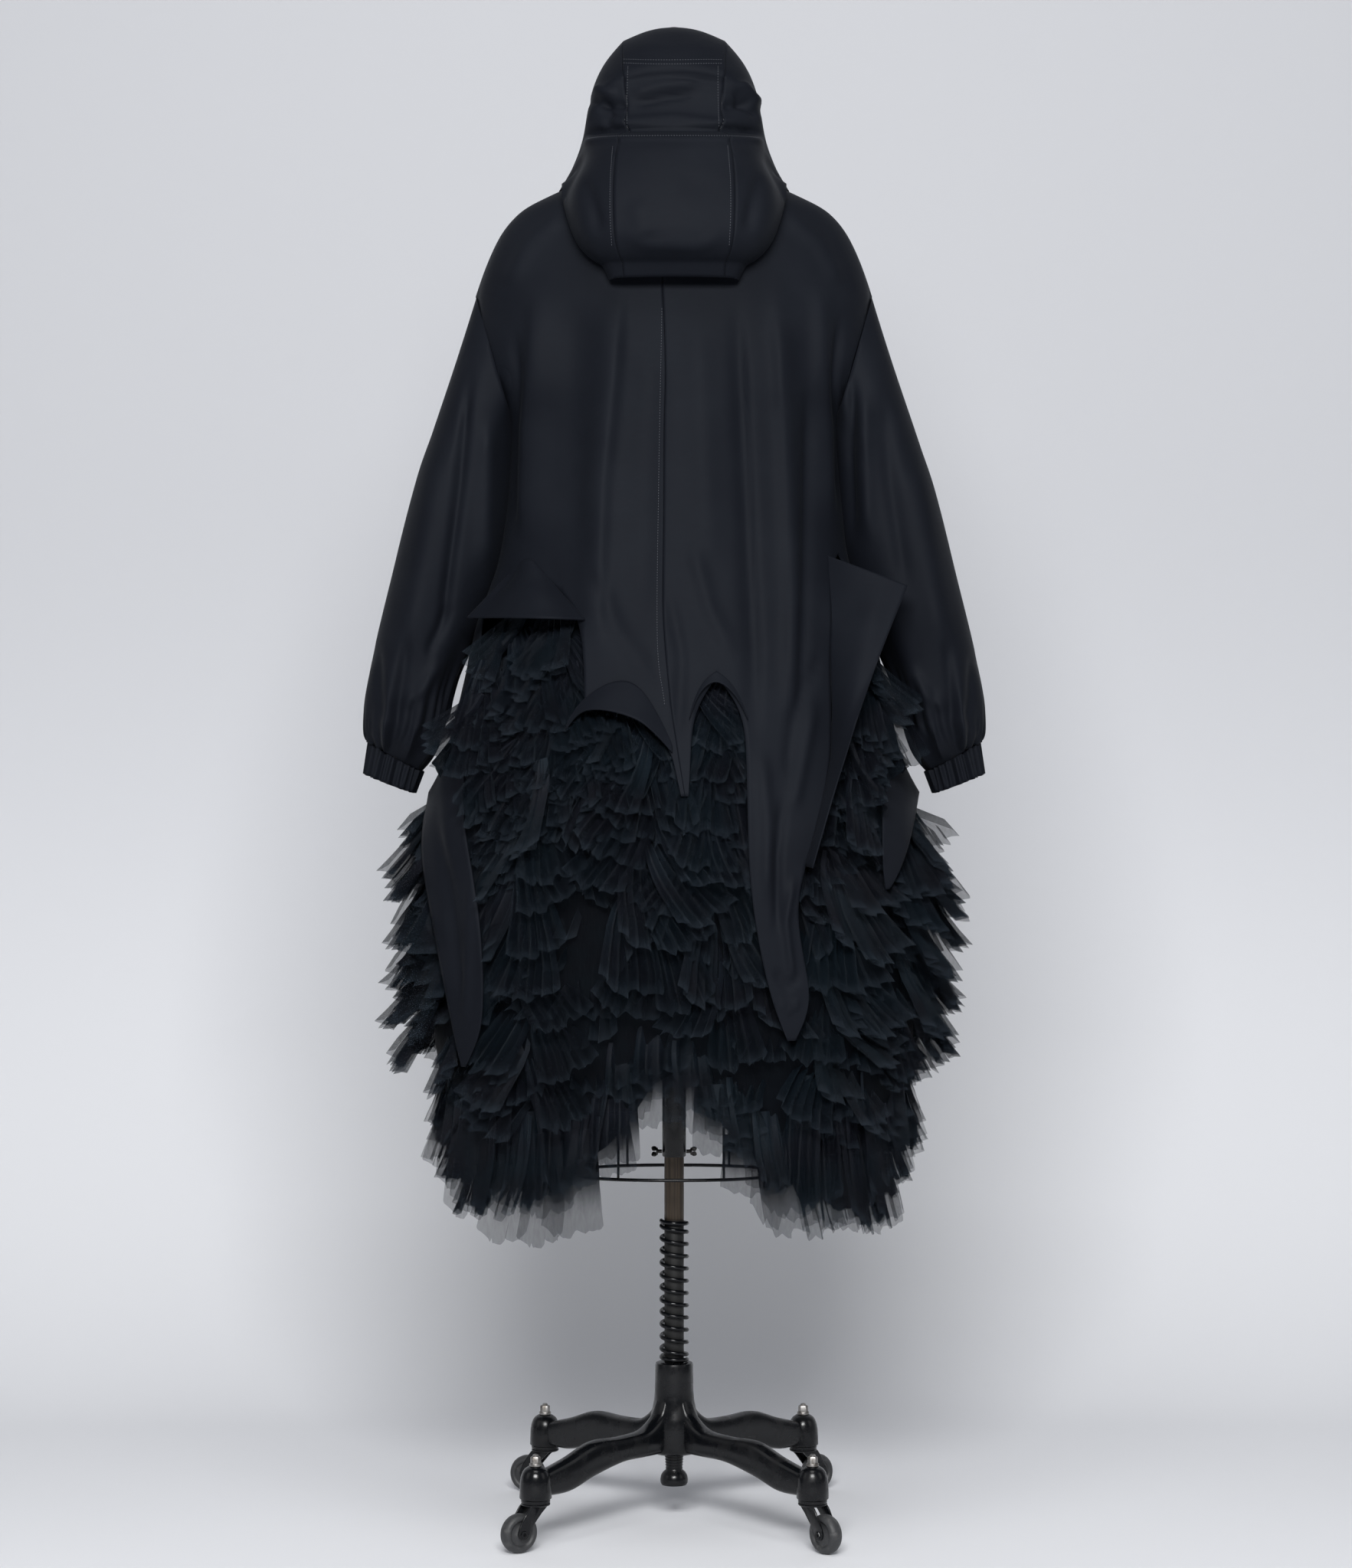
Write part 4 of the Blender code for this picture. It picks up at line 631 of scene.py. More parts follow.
# ---------------------------------------------------------------- finishes
@dataclass(frozen=True)
class Gabardine:
    """Fine matt-satin black-navy twill."""

    name: str = "gabardine_twill"
    colour: Colour = (0.0048, 0.0057, 0.0086)
    faded: Colour = (0.0067, 0.0079, 0.0112)
    wale: float = 0.0012
    clouds: float = 7.0
    slubs: Point = (60.0, 60.0, 700.0)
    rub: float = 160.0
    roughness: float = 0.56

    def material(self) -> bpy.types.Material:
        """Builds the material."""
        cloth = Surface(self.name)
        where = cloth.place()
        x, y, z = cloth.split(where)
        clouds = cloth.noise(where, self.clouds, 3.0, 0.55)
        slub = cloth.grain(where, self.slubs)
        wales = ((x + y * 0.9 + z * 0.62) * (2.0 * math.pi / self.wale)).sine()
        rub = cloth.noise(where, self.rub, 3.0, 0.6)
        base = cloth.blend(clouds.ease(0.35, 0.75), self.colour, self.faded)
        rough = self.roughness + clouds * 0.10 + slub * 0.08
        weave = cloth.bump(wales * 0.5 + slub * 0.8, 0.10, 0.0003)
        soft = cloth.bump(rub, 0.10, 0.0010, weave)
        return cloth.finish({"Base Color": base, "Roughness": rough, "Normal": soft},
                            {"Sheen Weight": 0.008, "Sheen Roughness": 0.40,
                             "Sheen Tint": (0.75, 0.84, 1.0, 1.0), "Specular IOR Level": 0.075,
                             "Specular Tint": (0.90, 0.95, 1.0, 1.0)})


@dataclass(frozen=True)
class Tulle:
    """Crisp see-through net, darker where it is gathered, with a painted highlight along its cut edge."""

    name: str = "tulle_net"
    colour: Colour = (0.0025, 0.0034, 0.0066)
    teal: Colour = (0.0024, 0.0064, 0.0106)
    # edge: the painted highlight colour along the cut edge.
    edge: Colour = (0.0150, 0.0215, 0.0300)
    clear: float = 0.62
    clouds: float = 11.0
    threads: Point = (260.0, 260.0, 40.0)
    roughness: float = 0.62

    def material(self) -> bpy.types.Material:
        """Builds the material."""
        net = Surface(self.name)
        where = net.place()
        drop = net.stored("drop")
        clouds = net.noise(where, self.clouds)
        threads = net.grain(where, self.threads, 2.0, 0.6)
        tint = net.blend(clouds.ease(0.35, 0.70), self.colour, self.teal)
        # Painted highlight: the colour turns paler towards the cut edge of each strip.
        base = net.blend(drop.ease(0.86, 1.0) * (0.55 + threads * 0.4), tint, self.edge)
        cover = 1.0 - (drop.ease(0.10, 0.85) * (self.clear + 0.14 * threads))
        grain = net.bump(threads, 0.25, 0.0006)
        rough = self.roughness + threads * 0.20
        return net.finish({"Base Color": base, "Alpha": cover, "Roughness": rough, "Normal": grain},
                          {"Sheen Weight": 0.034, "Sheen Roughness": 0.35,
                           "Sheen Tint": (0.60, 0.80, 1.0, 1.0), "Specular IOR Level": 0.14})


@dataclass(frozen=True)
class Foundation:
    """The denser net that the ruffles are sewn to."""

    name: str = "foundation_net"
    colour: Colour = (0.0012, 0.0017, 0.0030)
    teal: Colour = (0.0014, 0.0026, 0.0042)
    clouds: float = 20.0
    threads: Point = (420.0, 420.0, 60.0)
    roughness: float = 0.70

    def material(self) -> bpy.types.Material:
        """Builds the material."""
        net = Surface(self.name)
        where = net.place()
        clouds = net.noise(where, self.clouds, 3.0, 0.6)
        threads = net.grain(where, self.threads, 2.0, 0.6)
        base = net.blend(clouds.ease(0.3, 0.7), self.colour, self.teal)
        return net.finish({"Base Color": base, "Roughness": self.roughness + threads * 0.2,
                           "Normal": net.bump(threads, 0.4, 0.0010)}, {"Specular IOR Level": 0.06})


@dataclass(frozen=True)
class Cover:
    """Dark jersey stretched over the dress form."""

    name: str = "form_jersey"
    colour: Colour = (0.040, 0.040, 0.043)
    worn: Colour = (0.058, 0.057, 0.058)
    rib: float = 0.0016
    clouds: float = 9.0
    knit: float = 700.0
    roughness: float = 0.72

    def material(self) -> bpy.types.Material:
        """Builds the material."""
        cloth = Surface(self.name)
        where = cloth.place()
        clouds = cloth.noise(where, self.clouds, 3.0, 0.6)
        _, _, z = cloth.split(where)
        ribs = (z * (2.0 * math.pi / self.rib)).sine()
        knit = cloth.noise(where, self.knit, 2.0, 0.6)
        return cloth.finish({"Base Color": cloth.blend(clouds, self.colour, self.worn),
                             "Roughness": self.roughness + knit * 0.15,
                             "Normal": cloth.bump(ribs * 0.4 + knit, 0.2, 0.0004)}, {})


class Wear(Enum):
    """How much a metal part has been handled."""

    SLIGHT = 0.25
    SOME = 0.55
    MUCH = 0.85


@dataclass(frozen=True)
class Enamel:
    """Black stove enamel over cast or drawn iron, chipped and dulled with use."""

    name: str
    wear: Wear
    colour: Colour = (0.0026, 0.0030, 0.0040)
    dull: Colour = (0.0068, 0.0070, 0.0078)
    chip: Colour = (0.045, 0.040, 0.036)
    casting: float = 0.0008
    blotches: float = 34.0
    sand: float = 190.0
    spots: float = 85.0
    roughness: float = 0.20

    def material(self) -> bpy.types.Material:
        """Builds the material."""
        skin = Surface(self.name)
        where = skin.place()
        blotch = skin.noise(where, self.blotches, 4.0, 0.6)
        sand = skin.noise(where, self.sand, 3.0, 0.6)
        spots = skin.noise(where, self.spots, 5.0, 0.7)
        chips = spots.ease(0.68, 0.74) * self.wear.value
        dulled = skin.blend(blotch.ease(0.42, 0.72) * self.wear.value, self.colour, self.dull)
        base = skin.blend(chips, dulled, self.chip)
        rough = self.roughness + blotch.ease(0.4, 0.75) * 0.26 + chips * 0.25
        relief = skin.bump(blotch + sand * 0.35 - chips * 0.3, 0.35, self.casting)
        return skin.finish({"Base Color": base, "Roughness": rough, "Normal": relief},
                           {"Coat Weight": 0.06, "Coat Roughness": 0.14, "Specular IOR Level": 0.26})


@dataclass(frozen=True)
class Steel:
    """Bare or blued steel with rubbed high spots."""

    name: str
    colour: Colour = (0.30, 0.29, 0.28)
    stain: Colour = (0.10, 0.085, 0.070)
    roughness: float = 0.26
    blotches: float = 120.0
    scratches: Point = (300.0, 300.0, 2600.0)

    def material(self) -> bpy.types.Material:
        """Builds the material."""
        metal = Surface(self.name)
        where = metal.place()
        blotch = metal.noise(where, self.blotches, 4.0, 0.65)
        scratch = metal.grain(where, self.scratches)
        base = metal.blend(blotch.ease(0.45, 0.75), self.colour, self.stain)
        rough = self.roughness + blotch * 0.25 + scratch * 0.08
        return metal.finish({"Base Color": base, "Roughness": rough,
                             "Normal": metal.bump(scratch, 0.15, 0.0002)}, {"Metallic": 1.0})


@dataclass(frozen=True)
class PoleWood:
    """Brown-grey turned wood with long grain, blackened on its lower part."""

    name: str = "pole_grain"
    pale: Colour = (0.058, 0.042, 0.028)
    dark: Colour = (0.024, 0.018, 0.013)
    black: Colour = (0.013, 0.013, 0.013)
    change: float = 0.3960
    feather: float = 0.006
    grain: Point = (420.0, 420.0, 9.0)
    stains: float = 26.0
    roughness: float = 0.42

    def material(self) -> bpy.types.Material:
        """Builds the material."""
        wood = Surface(self.name)
        where = wood.place()
        _, _, z = wood.split(where)
        grain = wood.grain(where, self.grain, 4.0, 0.6)
        stain = wood.noise(where, self.stains, 3.0, 0.6)
        body = wood.blend(grain.ease(0.35, 0.68), self.pale, self.dark)
        aged = wood.blend(stain.ease(0.52, 0.80) * 0.7, body, self.dark)
        low = (z + stain * self.feather).ease(self.change + self.feather, self.change)
        return wood.finish({"Base Color": wood.blend(low, aged, self.black),
                            "Roughness": self.roughness + grain * 0.25,
                            "Normal": wood.bump(grain, 0.3, 0.0005)}, {"Specular IOR Level": 0.25})


@dataclass(frozen=True)
class Rubber:
    """Dark caster rubber with dust in it."""

    name: str = "tread_rubber_dusty"
    colour: Colour = (0.026, 0.027, 0.029)
    dust: Colour = (0.095, 0.094, 0.092)
    patches: float = 90.0
    grit: float = 900.0
    roughness: float = 0.38

    def material(self) -> bpy.types.Material:
        """Builds the material."""
        tyre = Surface(self.name)
        where = tyre.place()
        patches = tyre.noise(where, self.patches, 4.0, 0.65)
        fine = tyre.noise(where, self.grit)
        return tyre.finish({"Base Color": tyre.blend(patches.ease(0.5, 0.85), self.colour, self.dust),
                            "Roughness": self.roughness + patches * 0.3,
                            "Normal": tyre.bump(fine + patches, 0.15, 0.0004)}, {})


@dataclass(frozen=True)
class Thread:
    """Sewing thread, a little brighter than the cloth."""

    name: str = "sewing_thread"
    colour: Colour = (0.030, 0.033, 0.041)
    lit: Colour = (0.050, 0.055, 0.067)
    twist: float = 2200.0
    roughness: float = 0.45

    def material(self) -> bpy.types.Material:
        """Builds the material."""
        thread = Surface(self.name)
        twist = thread.noise(thread.place(), self.twist, 1.0)
        return thread.finish({"Base Color": thread.blend(twist, self.colour, self.lit),
                              "Roughness": self.roughness + twist * 0.2}, {})


@dataclass(frozen=True)
class Studio:
    """The pale sweep that the object stands on, clear to an eye behind it, with painted shade that darkens
    it from the floor towards the top of the wall.
    """

    name: str = "studio_sweep"
    colour: Colour = (0.785, 0.794, 0.820)
    shade: Colour = (0.752, 0.761, 0.787)
    # high: the painted shade colour of the upper wall; rise: the heights over which it comes in.
    high: Colour = (0.590, 0.598, 0.624)
    rise: Spot = (0.1, 1.5)
    clouds: float = 0.8

    def material(self) -> bpy.types.Material:
        """Builds the material."""
        paper = Surface(self.name)
        where = paper.place()
        _, _, z = paper.split(where)
        low = paper.blend(paper.noise(where, self.clouds), self.colour, self.shade)
        behind = paper.term("ShaderNodeNewGeometry", output="Backfacing")
        # Painted shade: the sweep turns darker from the floor up the wall.
        return paper.finish({"Base Color": paper.blend(z.ease(*self.rise), low, self.high),
                             "Alpha": 1.0 - behind}, {"Roughness": 0.85, "Specular IOR Level": 0.2})


@dataclass
class Palette:
    """Every finish of the object, each built once."""

    gabardine: bpy.types.Material
    tulle: bpy.types.Material
    hem: bpy.types.Material
    foundation: bpy.types.Material
    cover: bpy.types.Material
    cage: bpy.types.Material
    tube: bpy.types.Material
    spring: bpy.types.Material
    casting: bpy.types.Material
    steel: bpy.types.Material
    blued: bpy.types.Material
    wood: bpy.types.Material
    rubber: bpy.types.Material
    thread: bpy.types.Material

    @classmethod
    def build(cls) -> "Palette":
        """Builds all the finishes."""
        return cls(gabardine=Gabardine().material(), tulle=Tulle().material(),
                   hem=Tulle("tulle_net_hem", clear=0.70).material(),
                   foundation=Foundation().material(), cover=Cover().material(),
                   cage=Enamel("cage_enamel", Wear.SLIGHT, casting=0.0002).material(),
                   tube=Enamel("tube_enamel_black", Wear.SLIGHT, casting=0.0002).material(),
                   spring=Enamel("spring_black", Wear.SOME, casting=0.0003).material(),
                   casting=Enamel("cast_iron_enamel", Wear.MUCH).material(),
                   steel=Steel("plated_steel").material(),
                   blued=Steel("blued_steel", (0.060, 0.058, 0.056), (0.022, 0.020, 0.018)).material(),
                   wood=PoleWood().material(), rubber=Rubber().material(), thread=Thread().material())


# ---------------------------------------------------------------- the frame's nodes
@dataclass
class Frame:
    """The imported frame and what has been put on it."""

    nodes: Mapping[str, bpy.types.Object]
    body_of: Mapping[str, str]

    @classmethod
    def load(cls) -> "Frame":
        """Loads the frame and finds each node's body."""
        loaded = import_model()
        bodies = loaded["record"]["behaviour"]["bodies"]
        return cls(loaded["nodes"], {node: body for body, nodes in bodies.items() for node in nodes})

    def dress(self, piece: bpy.types.Object, slot: str, *nodes: str) -> bpy.types.Object:
        """Puts a piece on the body of the nodes that it stands for.

        Args:
            piece: The finished piece.
            slot: The record's material slot; not used.
            nodes: The nodes that it replaces.

        Returns:
            The piece.
        """
        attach(piece, self.body_of[nodes[0]])
        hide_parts(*nodes)
        LOG.info("%s stands for %s with %d faces", piece.name, ", ".join(nodes), len(piece.data.polygons))
        return piece

    def add(self, piece: bpy.types.Object, slot: str, body: str) -> bpy.types.Object:
        """Puts an extra piece on a body."""
        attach(piece, body)
        LOG.info("%s rides on %s with %d faces", piece.name, body, len(piece.data.polygons))
        return piece


# ---------------------------------------------------------------- the coat
@dataclass(frozen=True)
class Panel:
    """One sewn panel: the node that it stands for, its cut and its folds."""

    node: str
    flat: Spot
    area: float
    folds: tuple[Fold, ...] = ()
    hang: float = 0.0
    held: str = "hung"
    rests_on: str = "form_torso"
    out: float = 0.0


SLEEVE_AXIS = np.array([(0.9665, 0.3720), (1.0015, 0.3633), (1.046, 0.3515), (1.0865, 0.3475),
                        (1.159, 0.3290), (1.231, 0.3025), (1.300, 0.2853), (1.380, 0.2683),
                        (1.450, 0.2508), (1.600, 0.2200)])
SLEEVE_SHIFT = 0.007


def sleeve_frame(points: np.ndarray) -> tuple[np.ndarray, np.ndarray]:
    """The level way out of a sleeve's axis, and the angle round it, at each point."""
    side = np.sign(points[:, 0])
    middle = np.interp(points[:, 2], SLEEVE_AXIS[:, 0], SLEEVE_AXIS[:, 1]) * side
    away = np.stack([points[:, 0] - middle, points[:, 1] - SLEEVE_SHIFT, np.zeros(len(points))], axis=1)
    return away / np.linalg.norm(away, axis=1, keepdims=True), np.arctan2(away[:, 1], away[:, 0] * side)


@dataclass
class Coat:
    """The gabardine coat: back, fronts, sleeves, cuffs, hood and turned-out flaps."""

    frame: Frame
    palette: Palette
    levels: int = 3
    relief: float = 1.45
    hang_wave: Spot = (0.16, 0.60)
    beside: float = 0.0075
    body_side: Spot = (0.150, 0.205)
    body_arm: tuple[Spot, Spot] = ((1.10, 1.20), (1.42, 1.50))
    sleeve_side: Spot = (0.2, 0.9)
    sleeve_arm: tuple[Spot, Spot] = ((1.07, 1.16), (1.40, 1.47))
    gathers: int = 23
    gather: float = 0.0036
    gather_span: tuple[Spot, Spot] = ((0.004, 0.020), (0.030, 0.085))
    puffs: int = 9
    puff: float = 0.0030
    puff_span: tuple[Spot, Spot] = ((0.01, 0.05), (0.06, 0.15))
    cuff_z: float = 1.0015
    cuff_x: float = 0.3633
    cuff_slope: float = 0.55
    cuff_ribs: int = 30
    cuff_rib: float = 0.0024
    cuff_inset: float = 0.0004
    flap_out: float = 0.0010
    pouch_round: float = 0.024
    pouch_low: Spot = (1.668, 0.060)
    pouch_behind: Spot = (0.10, 0.15)
    hood_middle: Point = (0.0, -0.01, 1.79)
    shown: dict[str, bpy.types.Object] = field(default_factory=dict)

    BACK = (
        Fold(((-0.066, 1.62), (-0.078, 1.46), (-0.089, 1.347), (-0.097, 1.136)), 0.016, 0.0060, lean=0.45),
        Fold(((-0.125, 1.60), (-0.130, 1.45), (-0.138, 1.25)), 0.026, -0.0045),
        Fold(((-0.176, 1.60), (-0.184, 1.45), (-0.186, 1.26)), 0.014, 0.0045, lean=-0.3),
        Fold(((-0.205, 1.56), (-0.200, 1.44), (-0.203, 1.27)), 0.008, -0.0045),
        Fold(((-0.028, 1.56), (-0.034, 1.40), (-0.040, 1.15)), 0.020, -0.0032),
        Fold(((0.028, 1.58), (0.036, 1.42), (0.046, 1.22)), 0.018, 0.0026),
        Fold(((0.080, 1.60), (0.093, 1.347), (0.103, 1.136), (0.100, 1.00)), 0.010, -0.0055, lean=0.4),
        Fold(((0.128, 1.62), (0.140, 1.40), (0.147, 1.20), (0.143, 1.02)), 0.015, 0.0060, lean=-0.35),
        Fold(((0.172, 1.50), (0.166, 1.30), (0.160, 1.14), (0.156, 1.02)), 0.008, -0.0045),
        Fold(((0.187, 1.62), (0.190, 1.45), (0.196, 1.28)), 0.012, 0.0042),
        Fold(((0.214, 1.58), (0.203, 1.44), (0.204, 1.30)), 0.007, -0.0045),
        Fold(((-0.140, 1.70), (-0.185, 1.66), (-0.215, 1.60)), 0.012, 0.0030),
        Fold(((0.140, 1.70), (0.188, 1.66), (0.214, 1.60)), 0.012, 0.0030),
        Fold(((-0.110, 1.25), (-0.070, 1.16), (-0.020, 1.09)), 0.012, -0.0030),
        Fold(((0.020, 1.28), (0.045, 1.19), (0.078, 1.12)), 0.010, 0.0030),
        Fold(((-0.010, 1.22), (0.010, 1.13), (0.004, 1.02)), 0.008, -0.0028),
        Fold(((0.190, 1.14), (0.150, 1.06), (0.140, 0.97)), 0.007, -0.0030),
        Fold(((0.176, 1.08), (0.160, 1.00), (0.146, 0.93)), 0.008, 0.0035),
        Fold(((0.108, 1.02), (0.116, 0.92), (0.114, 0.82)), 0.008, 0.0040),
        Fold(((0.136, 0.96), (0.128, 0.88), (0.128, 0.78)), 0.006, -0.0040),
        Fold(((0.150, 0.86), (0.138, 0.80), (0.148, 0.72)), 0.005, 0.0035),
        Fold(((0.122, 0.74), (0.140, 0.72), (0.160, 0.735)), 0.004, -0.0030),
        Fold(((0.128, 0.70), (0.142, 0.69), (0.158, 0.70)), 0.003, 0.0022),
        Fold(((-0.262, 1.10), (-0.288, 0.98), (-0.282, 0.84)), 0.012, 0.0040),
        Fold(((-0.300, 0.93), (-0.282, 0.82), (-0.266, 0.68)), 0.008, -0.0035),
        Fold(((-0.256, 0.86), (-0.258, 0.76), (-0.262, 0.66)), 0.006, 0.0025),
    )
    FRONT = (
        Fold(((0.070, 1.60), (0.080, 1.40), (0.098, 1.10), (0.105, 0.96)), 0.018, 0.0050, face=1.0),
        Fold(((0.130, 1.58), (0.128, 1.40), (0.150, 1.15), (0.165, 0.96)), 0.014, -0.0050, face=1.0),
        Fold(((0.185, 1.55), (0.175, 1.35), (0.200, 1.12), (0.230, 0.96)), 0.018, 0.0050, face=1.0),
    )
    SLEEVE_LEFT = (
        Fold(((-0.262, 1.51), (-0.274, 1.353), (-0.301, 1.138)), 0.007, -0.0060, face=0.0),
        Fold(((-0.236, 1.44), (-0.2416, 1.35), (-0.247, 1.23)), 0.010, 0.0055),
        Fold(((-0.300, 1.42), (-0.318, 1.28), (-0.345, 1.12)), 0.020, 0.0050),
        Fold(((-0.340, 1.16), (-0.352, 1.09), (-0.360, 1.04)), 0.008, -0.0040),
        Fold(((-0.300, 1.13), (-0.322, 1.09), (-0.350, 1.065)), 0.007, 0.0040),
        Fold(((-0.385, 1.15), (-0.380, 1.09), (-0.372, 1.04)), 0.007, -0.0038),
        Fold(((-0.285, 1.20), (-0.300, 1.17), (-0.318, 1.13)), 0.006, -0.0040),
    )
    SLEEVE_RIGHT = (
        Fold(((0.2300, 1.50), (0.2270, 1.392), (0.2340, 1.27)), 0.006, -0.0060, face=0.0),
        Fold(((0.2440, 1.48), (0.2450, 1.38), (0.2520, 1.27)), 0.009, 0.0055),
        Fold(((0.268, 1.48), (0.276, 1.36), (0.300, 1.20)), 0.011, -0.0040),
        Fold(((0.305, 1.40), (0.325, 1.27), (0.350, 1.12)), 0.018, 0.0050),
        Fold(((0.350, 1.16), (0.356, 1.09), (0.362, 1.04)), 0.008, -0.0040),
        Fold(((0.300, 1.12), (0.325, 1.08), (0.352, 1.06)), 0.007, 0.0038),
        Fold(((0.388, 1.14), (0.382, 1.08), (0.374, 1.04)), 0.007, -0.0036),
    )
    HOOD = (
        Fold(((-0.056, 1.834), (-0.020, 1.842), (0.030, 1.850)), 0.0045, -0.0040),
        Fold(((-0.060, 1.846), (-0.015, 1.856), (0.036, 1.862)), 0.007, 0.0030),
        Fold(((-0.098, 1.842), (-0.080, 1.836), (-0.058, 1.834)), 0.005, -0.0055),
        Fold(((0.060, 1.832), (0.082, 1.836), (0.104, 1.846)), 0.005, -0.0050),
        Fold(((-0.118, 1.802), (-0.060, 1.799), (0.0, 1.798), (0.060, 1.799), (0.116, 1.803)),
             0.005, -0.0085, 0.08),
        Fold(((-0.122, 1.789), (-0.060, 1.786), (0.0, 1.785), (0.060, 1.786), (0.120, 1.790)),
             0.006, 0.0050, 0.08),
        Fold(((-0.105, 1.818), (-0.060, 1.812), (0.0, 1.816), (0.050, 1.810), (0.104, 1.820)),
             0.005, 0.0032, 0.15),
        Fold(((-0.100, 1.872), (-0.060, 1.868), (-0.010, 1.874), (0.060, 1.866), (0.100, 1.874)),
             0.006, -0.0030),
        Fold(((-0.004, 1.726), (0.030, 1.718), (0.064, 1.722)), 0.016, -0.0022, 0.45),
        Fold(((-0.112, 1.852), (-0.092, 1.838), (-0.082, 1.820), (-0.088, 1.803)), 0.006, -0.0050),
        Fold(((-0.104, 1.862), (-0.086, 1.850), (-0.072, 1.846)), 0.006, 0.0045),
        Fold(((0.078, 1.856), (0.090, 1.836), (0.112, 1.824)), 0.006, -0.0045),
        Fold(((0.084, 1.868), (0.100, 1.850), (0.114, 1.842)), 0.006, 0.0040),
        Fold(((-0.050, 1.700), (-0.040, 1.680), (-0.036, 1.650)), 0.016, 0.0026),
        Fold(((-0.118, 1.735), (-0.104, 1.700), (-0.092, 1.655)), 0.008, -0.0040),
        Fold(((0.112, 1.740), (0.100, 1.700), (0.090, 1.655)), 0.008, -0.0040),
        Fold(((-0.074, 1.660), (-0.030, 1.640), (0.030, 1.638), (0.070, 1.655)), 0.010, 0.0022),
        Fold(((-0.070, 1.915), (0.0, 1.905), (0.066, 1.915)), 0.012, 0.0018, fade=0.3),
    )
    RIGHT_FLAP = (
        Fold(((0.262, 1.240), (0.240, 1.160), (0.212, 1.060), (0.190, 0.960)), 0.016, 0.0030, face=0.0),
        Fold(((0.200, 1.06), (0.190, 0.99), (0.178, 0.92)), 0.006, -0.0022, face=0.0),
    )
    LEFT_FLAP = (
        Fold(((-0.245, 1.196), (-0.190, 1.215), (-0.130, 1.196)), 0.012, 0.0020, face=0.0, fade=0.3),
        Fold(((-0.196, 1.250), (-0.215, 1.222), (-0.236, 1.200)), 0.005, -0.0018, face=0.0),
    )

    def _make(self, panel: Panel, way: Way, extra: Way | None = None) -> bpy.types.Object:
        """Makes one panel from its node.

        Args:
            panel: What to make.
            way: Gives the direction that the cloth is lifted in.
            extra: Gives a further lift for each point.

        Returns:
            The dressed piece.
        """
        piece = refined(self.frame.nodes[panel.node], f"coat_{panel.node}", self.levels,
                        self.palette.gabardine)
        points = corners_of(piece.data)
        lift = np.full(len(points), panel.out)
        for fold in panel.folds:
            lift += fold.lift(points) * self.relief
        if panel.hang:
            lift += drape(points, len(panel.node), panel.hang, *self.hang_wave)
        if extra is not None:
            lift += extra(points)
        move_to(piece.data, points + way(points) * lift[:, None])
        self.frame.dress(piece, "gabardine", panel.node)
        self.shown[panel.node] = piece
        return piece

    def body(self) -> None:
        """Both halves of the back with their tails, the fronts and the closing strip."""
        mirrored = tuple(Fold(tuple((-x, z) for x, z in fold.course), fold.width, fold.height, face=1.0)
                         for fold in self.FRONT)

        def beside(points: np.ndarray) -> np.ndarray:
            """Fills the body out towards the sleeves under the arms."""
            return (self.beside * step(np.abs(points[:, 0]), *self.body_side)
                    * window(points[:, 2], *self.body_arm))

        for panel in (
                Panel("back_left", (0.42, 1.14), 0.236, self.BACK, hang=0.0012),
                Panel("back_right", (0.42, 1.10), 0.274, self.BACK, hang=0.0012),
                Panel("front_left", (0.38, 0.80), 0.270, mirrored, hang=0.0012),
                Panel("front_right", (0.38, 0.80), 0.270, self.FRONT, hang=0.0012),
                Panel("placket", (0.08, 0.80), 0.062, (), rests_on="coat_front_right", out=0.0012)):
            self._make(panel, COAT_FORM.outward, beside)

    def sleeves(self) -> None:
        """The gathered balloon sleeves and their elastic cuffs."""
        def way(points: np.ndarray) -> np.ndarray:
            """Out of the sleeve's axis."""
            return sleeve_frame(points)[0]

        def gathers(points: np.ndarray) -> np.ndarray:
            """Small pleats that rise from the cuff and die away, and the side that meets the body."""
            away, turn = sleeve_frame(points)
            inner = step(-away[:, 0] * np.sign(points[:, 0]), *self.sleeve_side)
            beside = inner * window(points[:, 2], *self.sleeve_arm)
            height = points[:, 2] - self.cuff_z + self.cuff_slope * (np.abs(points[:, 0]) - self.cuff_x)
            fine = np.sin(turn * self.gathers + 1.4 * np.sin(turn * 3.0))
            broad = np.sin(turn * self.puffs + 0.8)
            return (self.gather * fine * window(height, *self.gather_span)
                    + self.puff * broad * window(height, *self.puff_span) + self.beside * beside)

        def ribs(points: np.ndarray) -> np.ndarray:
            """The fine ribs of an elastic cuff."""
            _, turn = sleeve_frame(points)
            wave = np.sin(turn * self.cuff_ribs + 0.7 * np.sin(turn * 5.0))
            return self.cuff_rib * wave - self.cuff_inset

        for side, folds in (("left", self.SLEEVE_LEFT), ("right", self.SLEEVE_RIGHT)):
            self._make(Panel(f"sleeve_{side}", (0.62, 0.60), 0.252, folds, hang=0.0010,
                             rests_on=f"coat_back_{side}"), way, gathers)
        for side in ("left", "right"):
            self._make(Panel(f"cuff_{side}", (0.28, 0.045), 0.0126, held="gathered",
                             rests_on=f"coat_sleeve_{side}"), way, ribs)

    def hood(self) -> None:
        """The hood with its boxed pouch."""
        def way(points: np.ndarray) -> np.ndarray:
            """Out of the hood's middle."""
            away = points - np.array(self.hood_middle)
            return away / np.linalg.norm(away, axis=1, keepdims=True)

        def sag(points: np.ndarray) -> np.ndarray:
            """Rounds the pouch off below, so that its underside turns away from the light."""
            top, deep = self.pouch_low
            behind = step(-points[:, 1], *self.pouch_behind)
            return -self.pouch_round * behind * np.clip((top - points[:, 2]) / deep, 0.0, 1.0) ** 2

        for part, flat, area in (("centre", (0.20, 0.62), 0.108), ("side_left", (0.28, 0.44), 0.084),
                                 ("side_right", (0.28, 0.44), 0.084)):
            self._make(Panel(f"hood_{part}", flat, area, self.HOOD, rests_on="head_block"), way, sag)

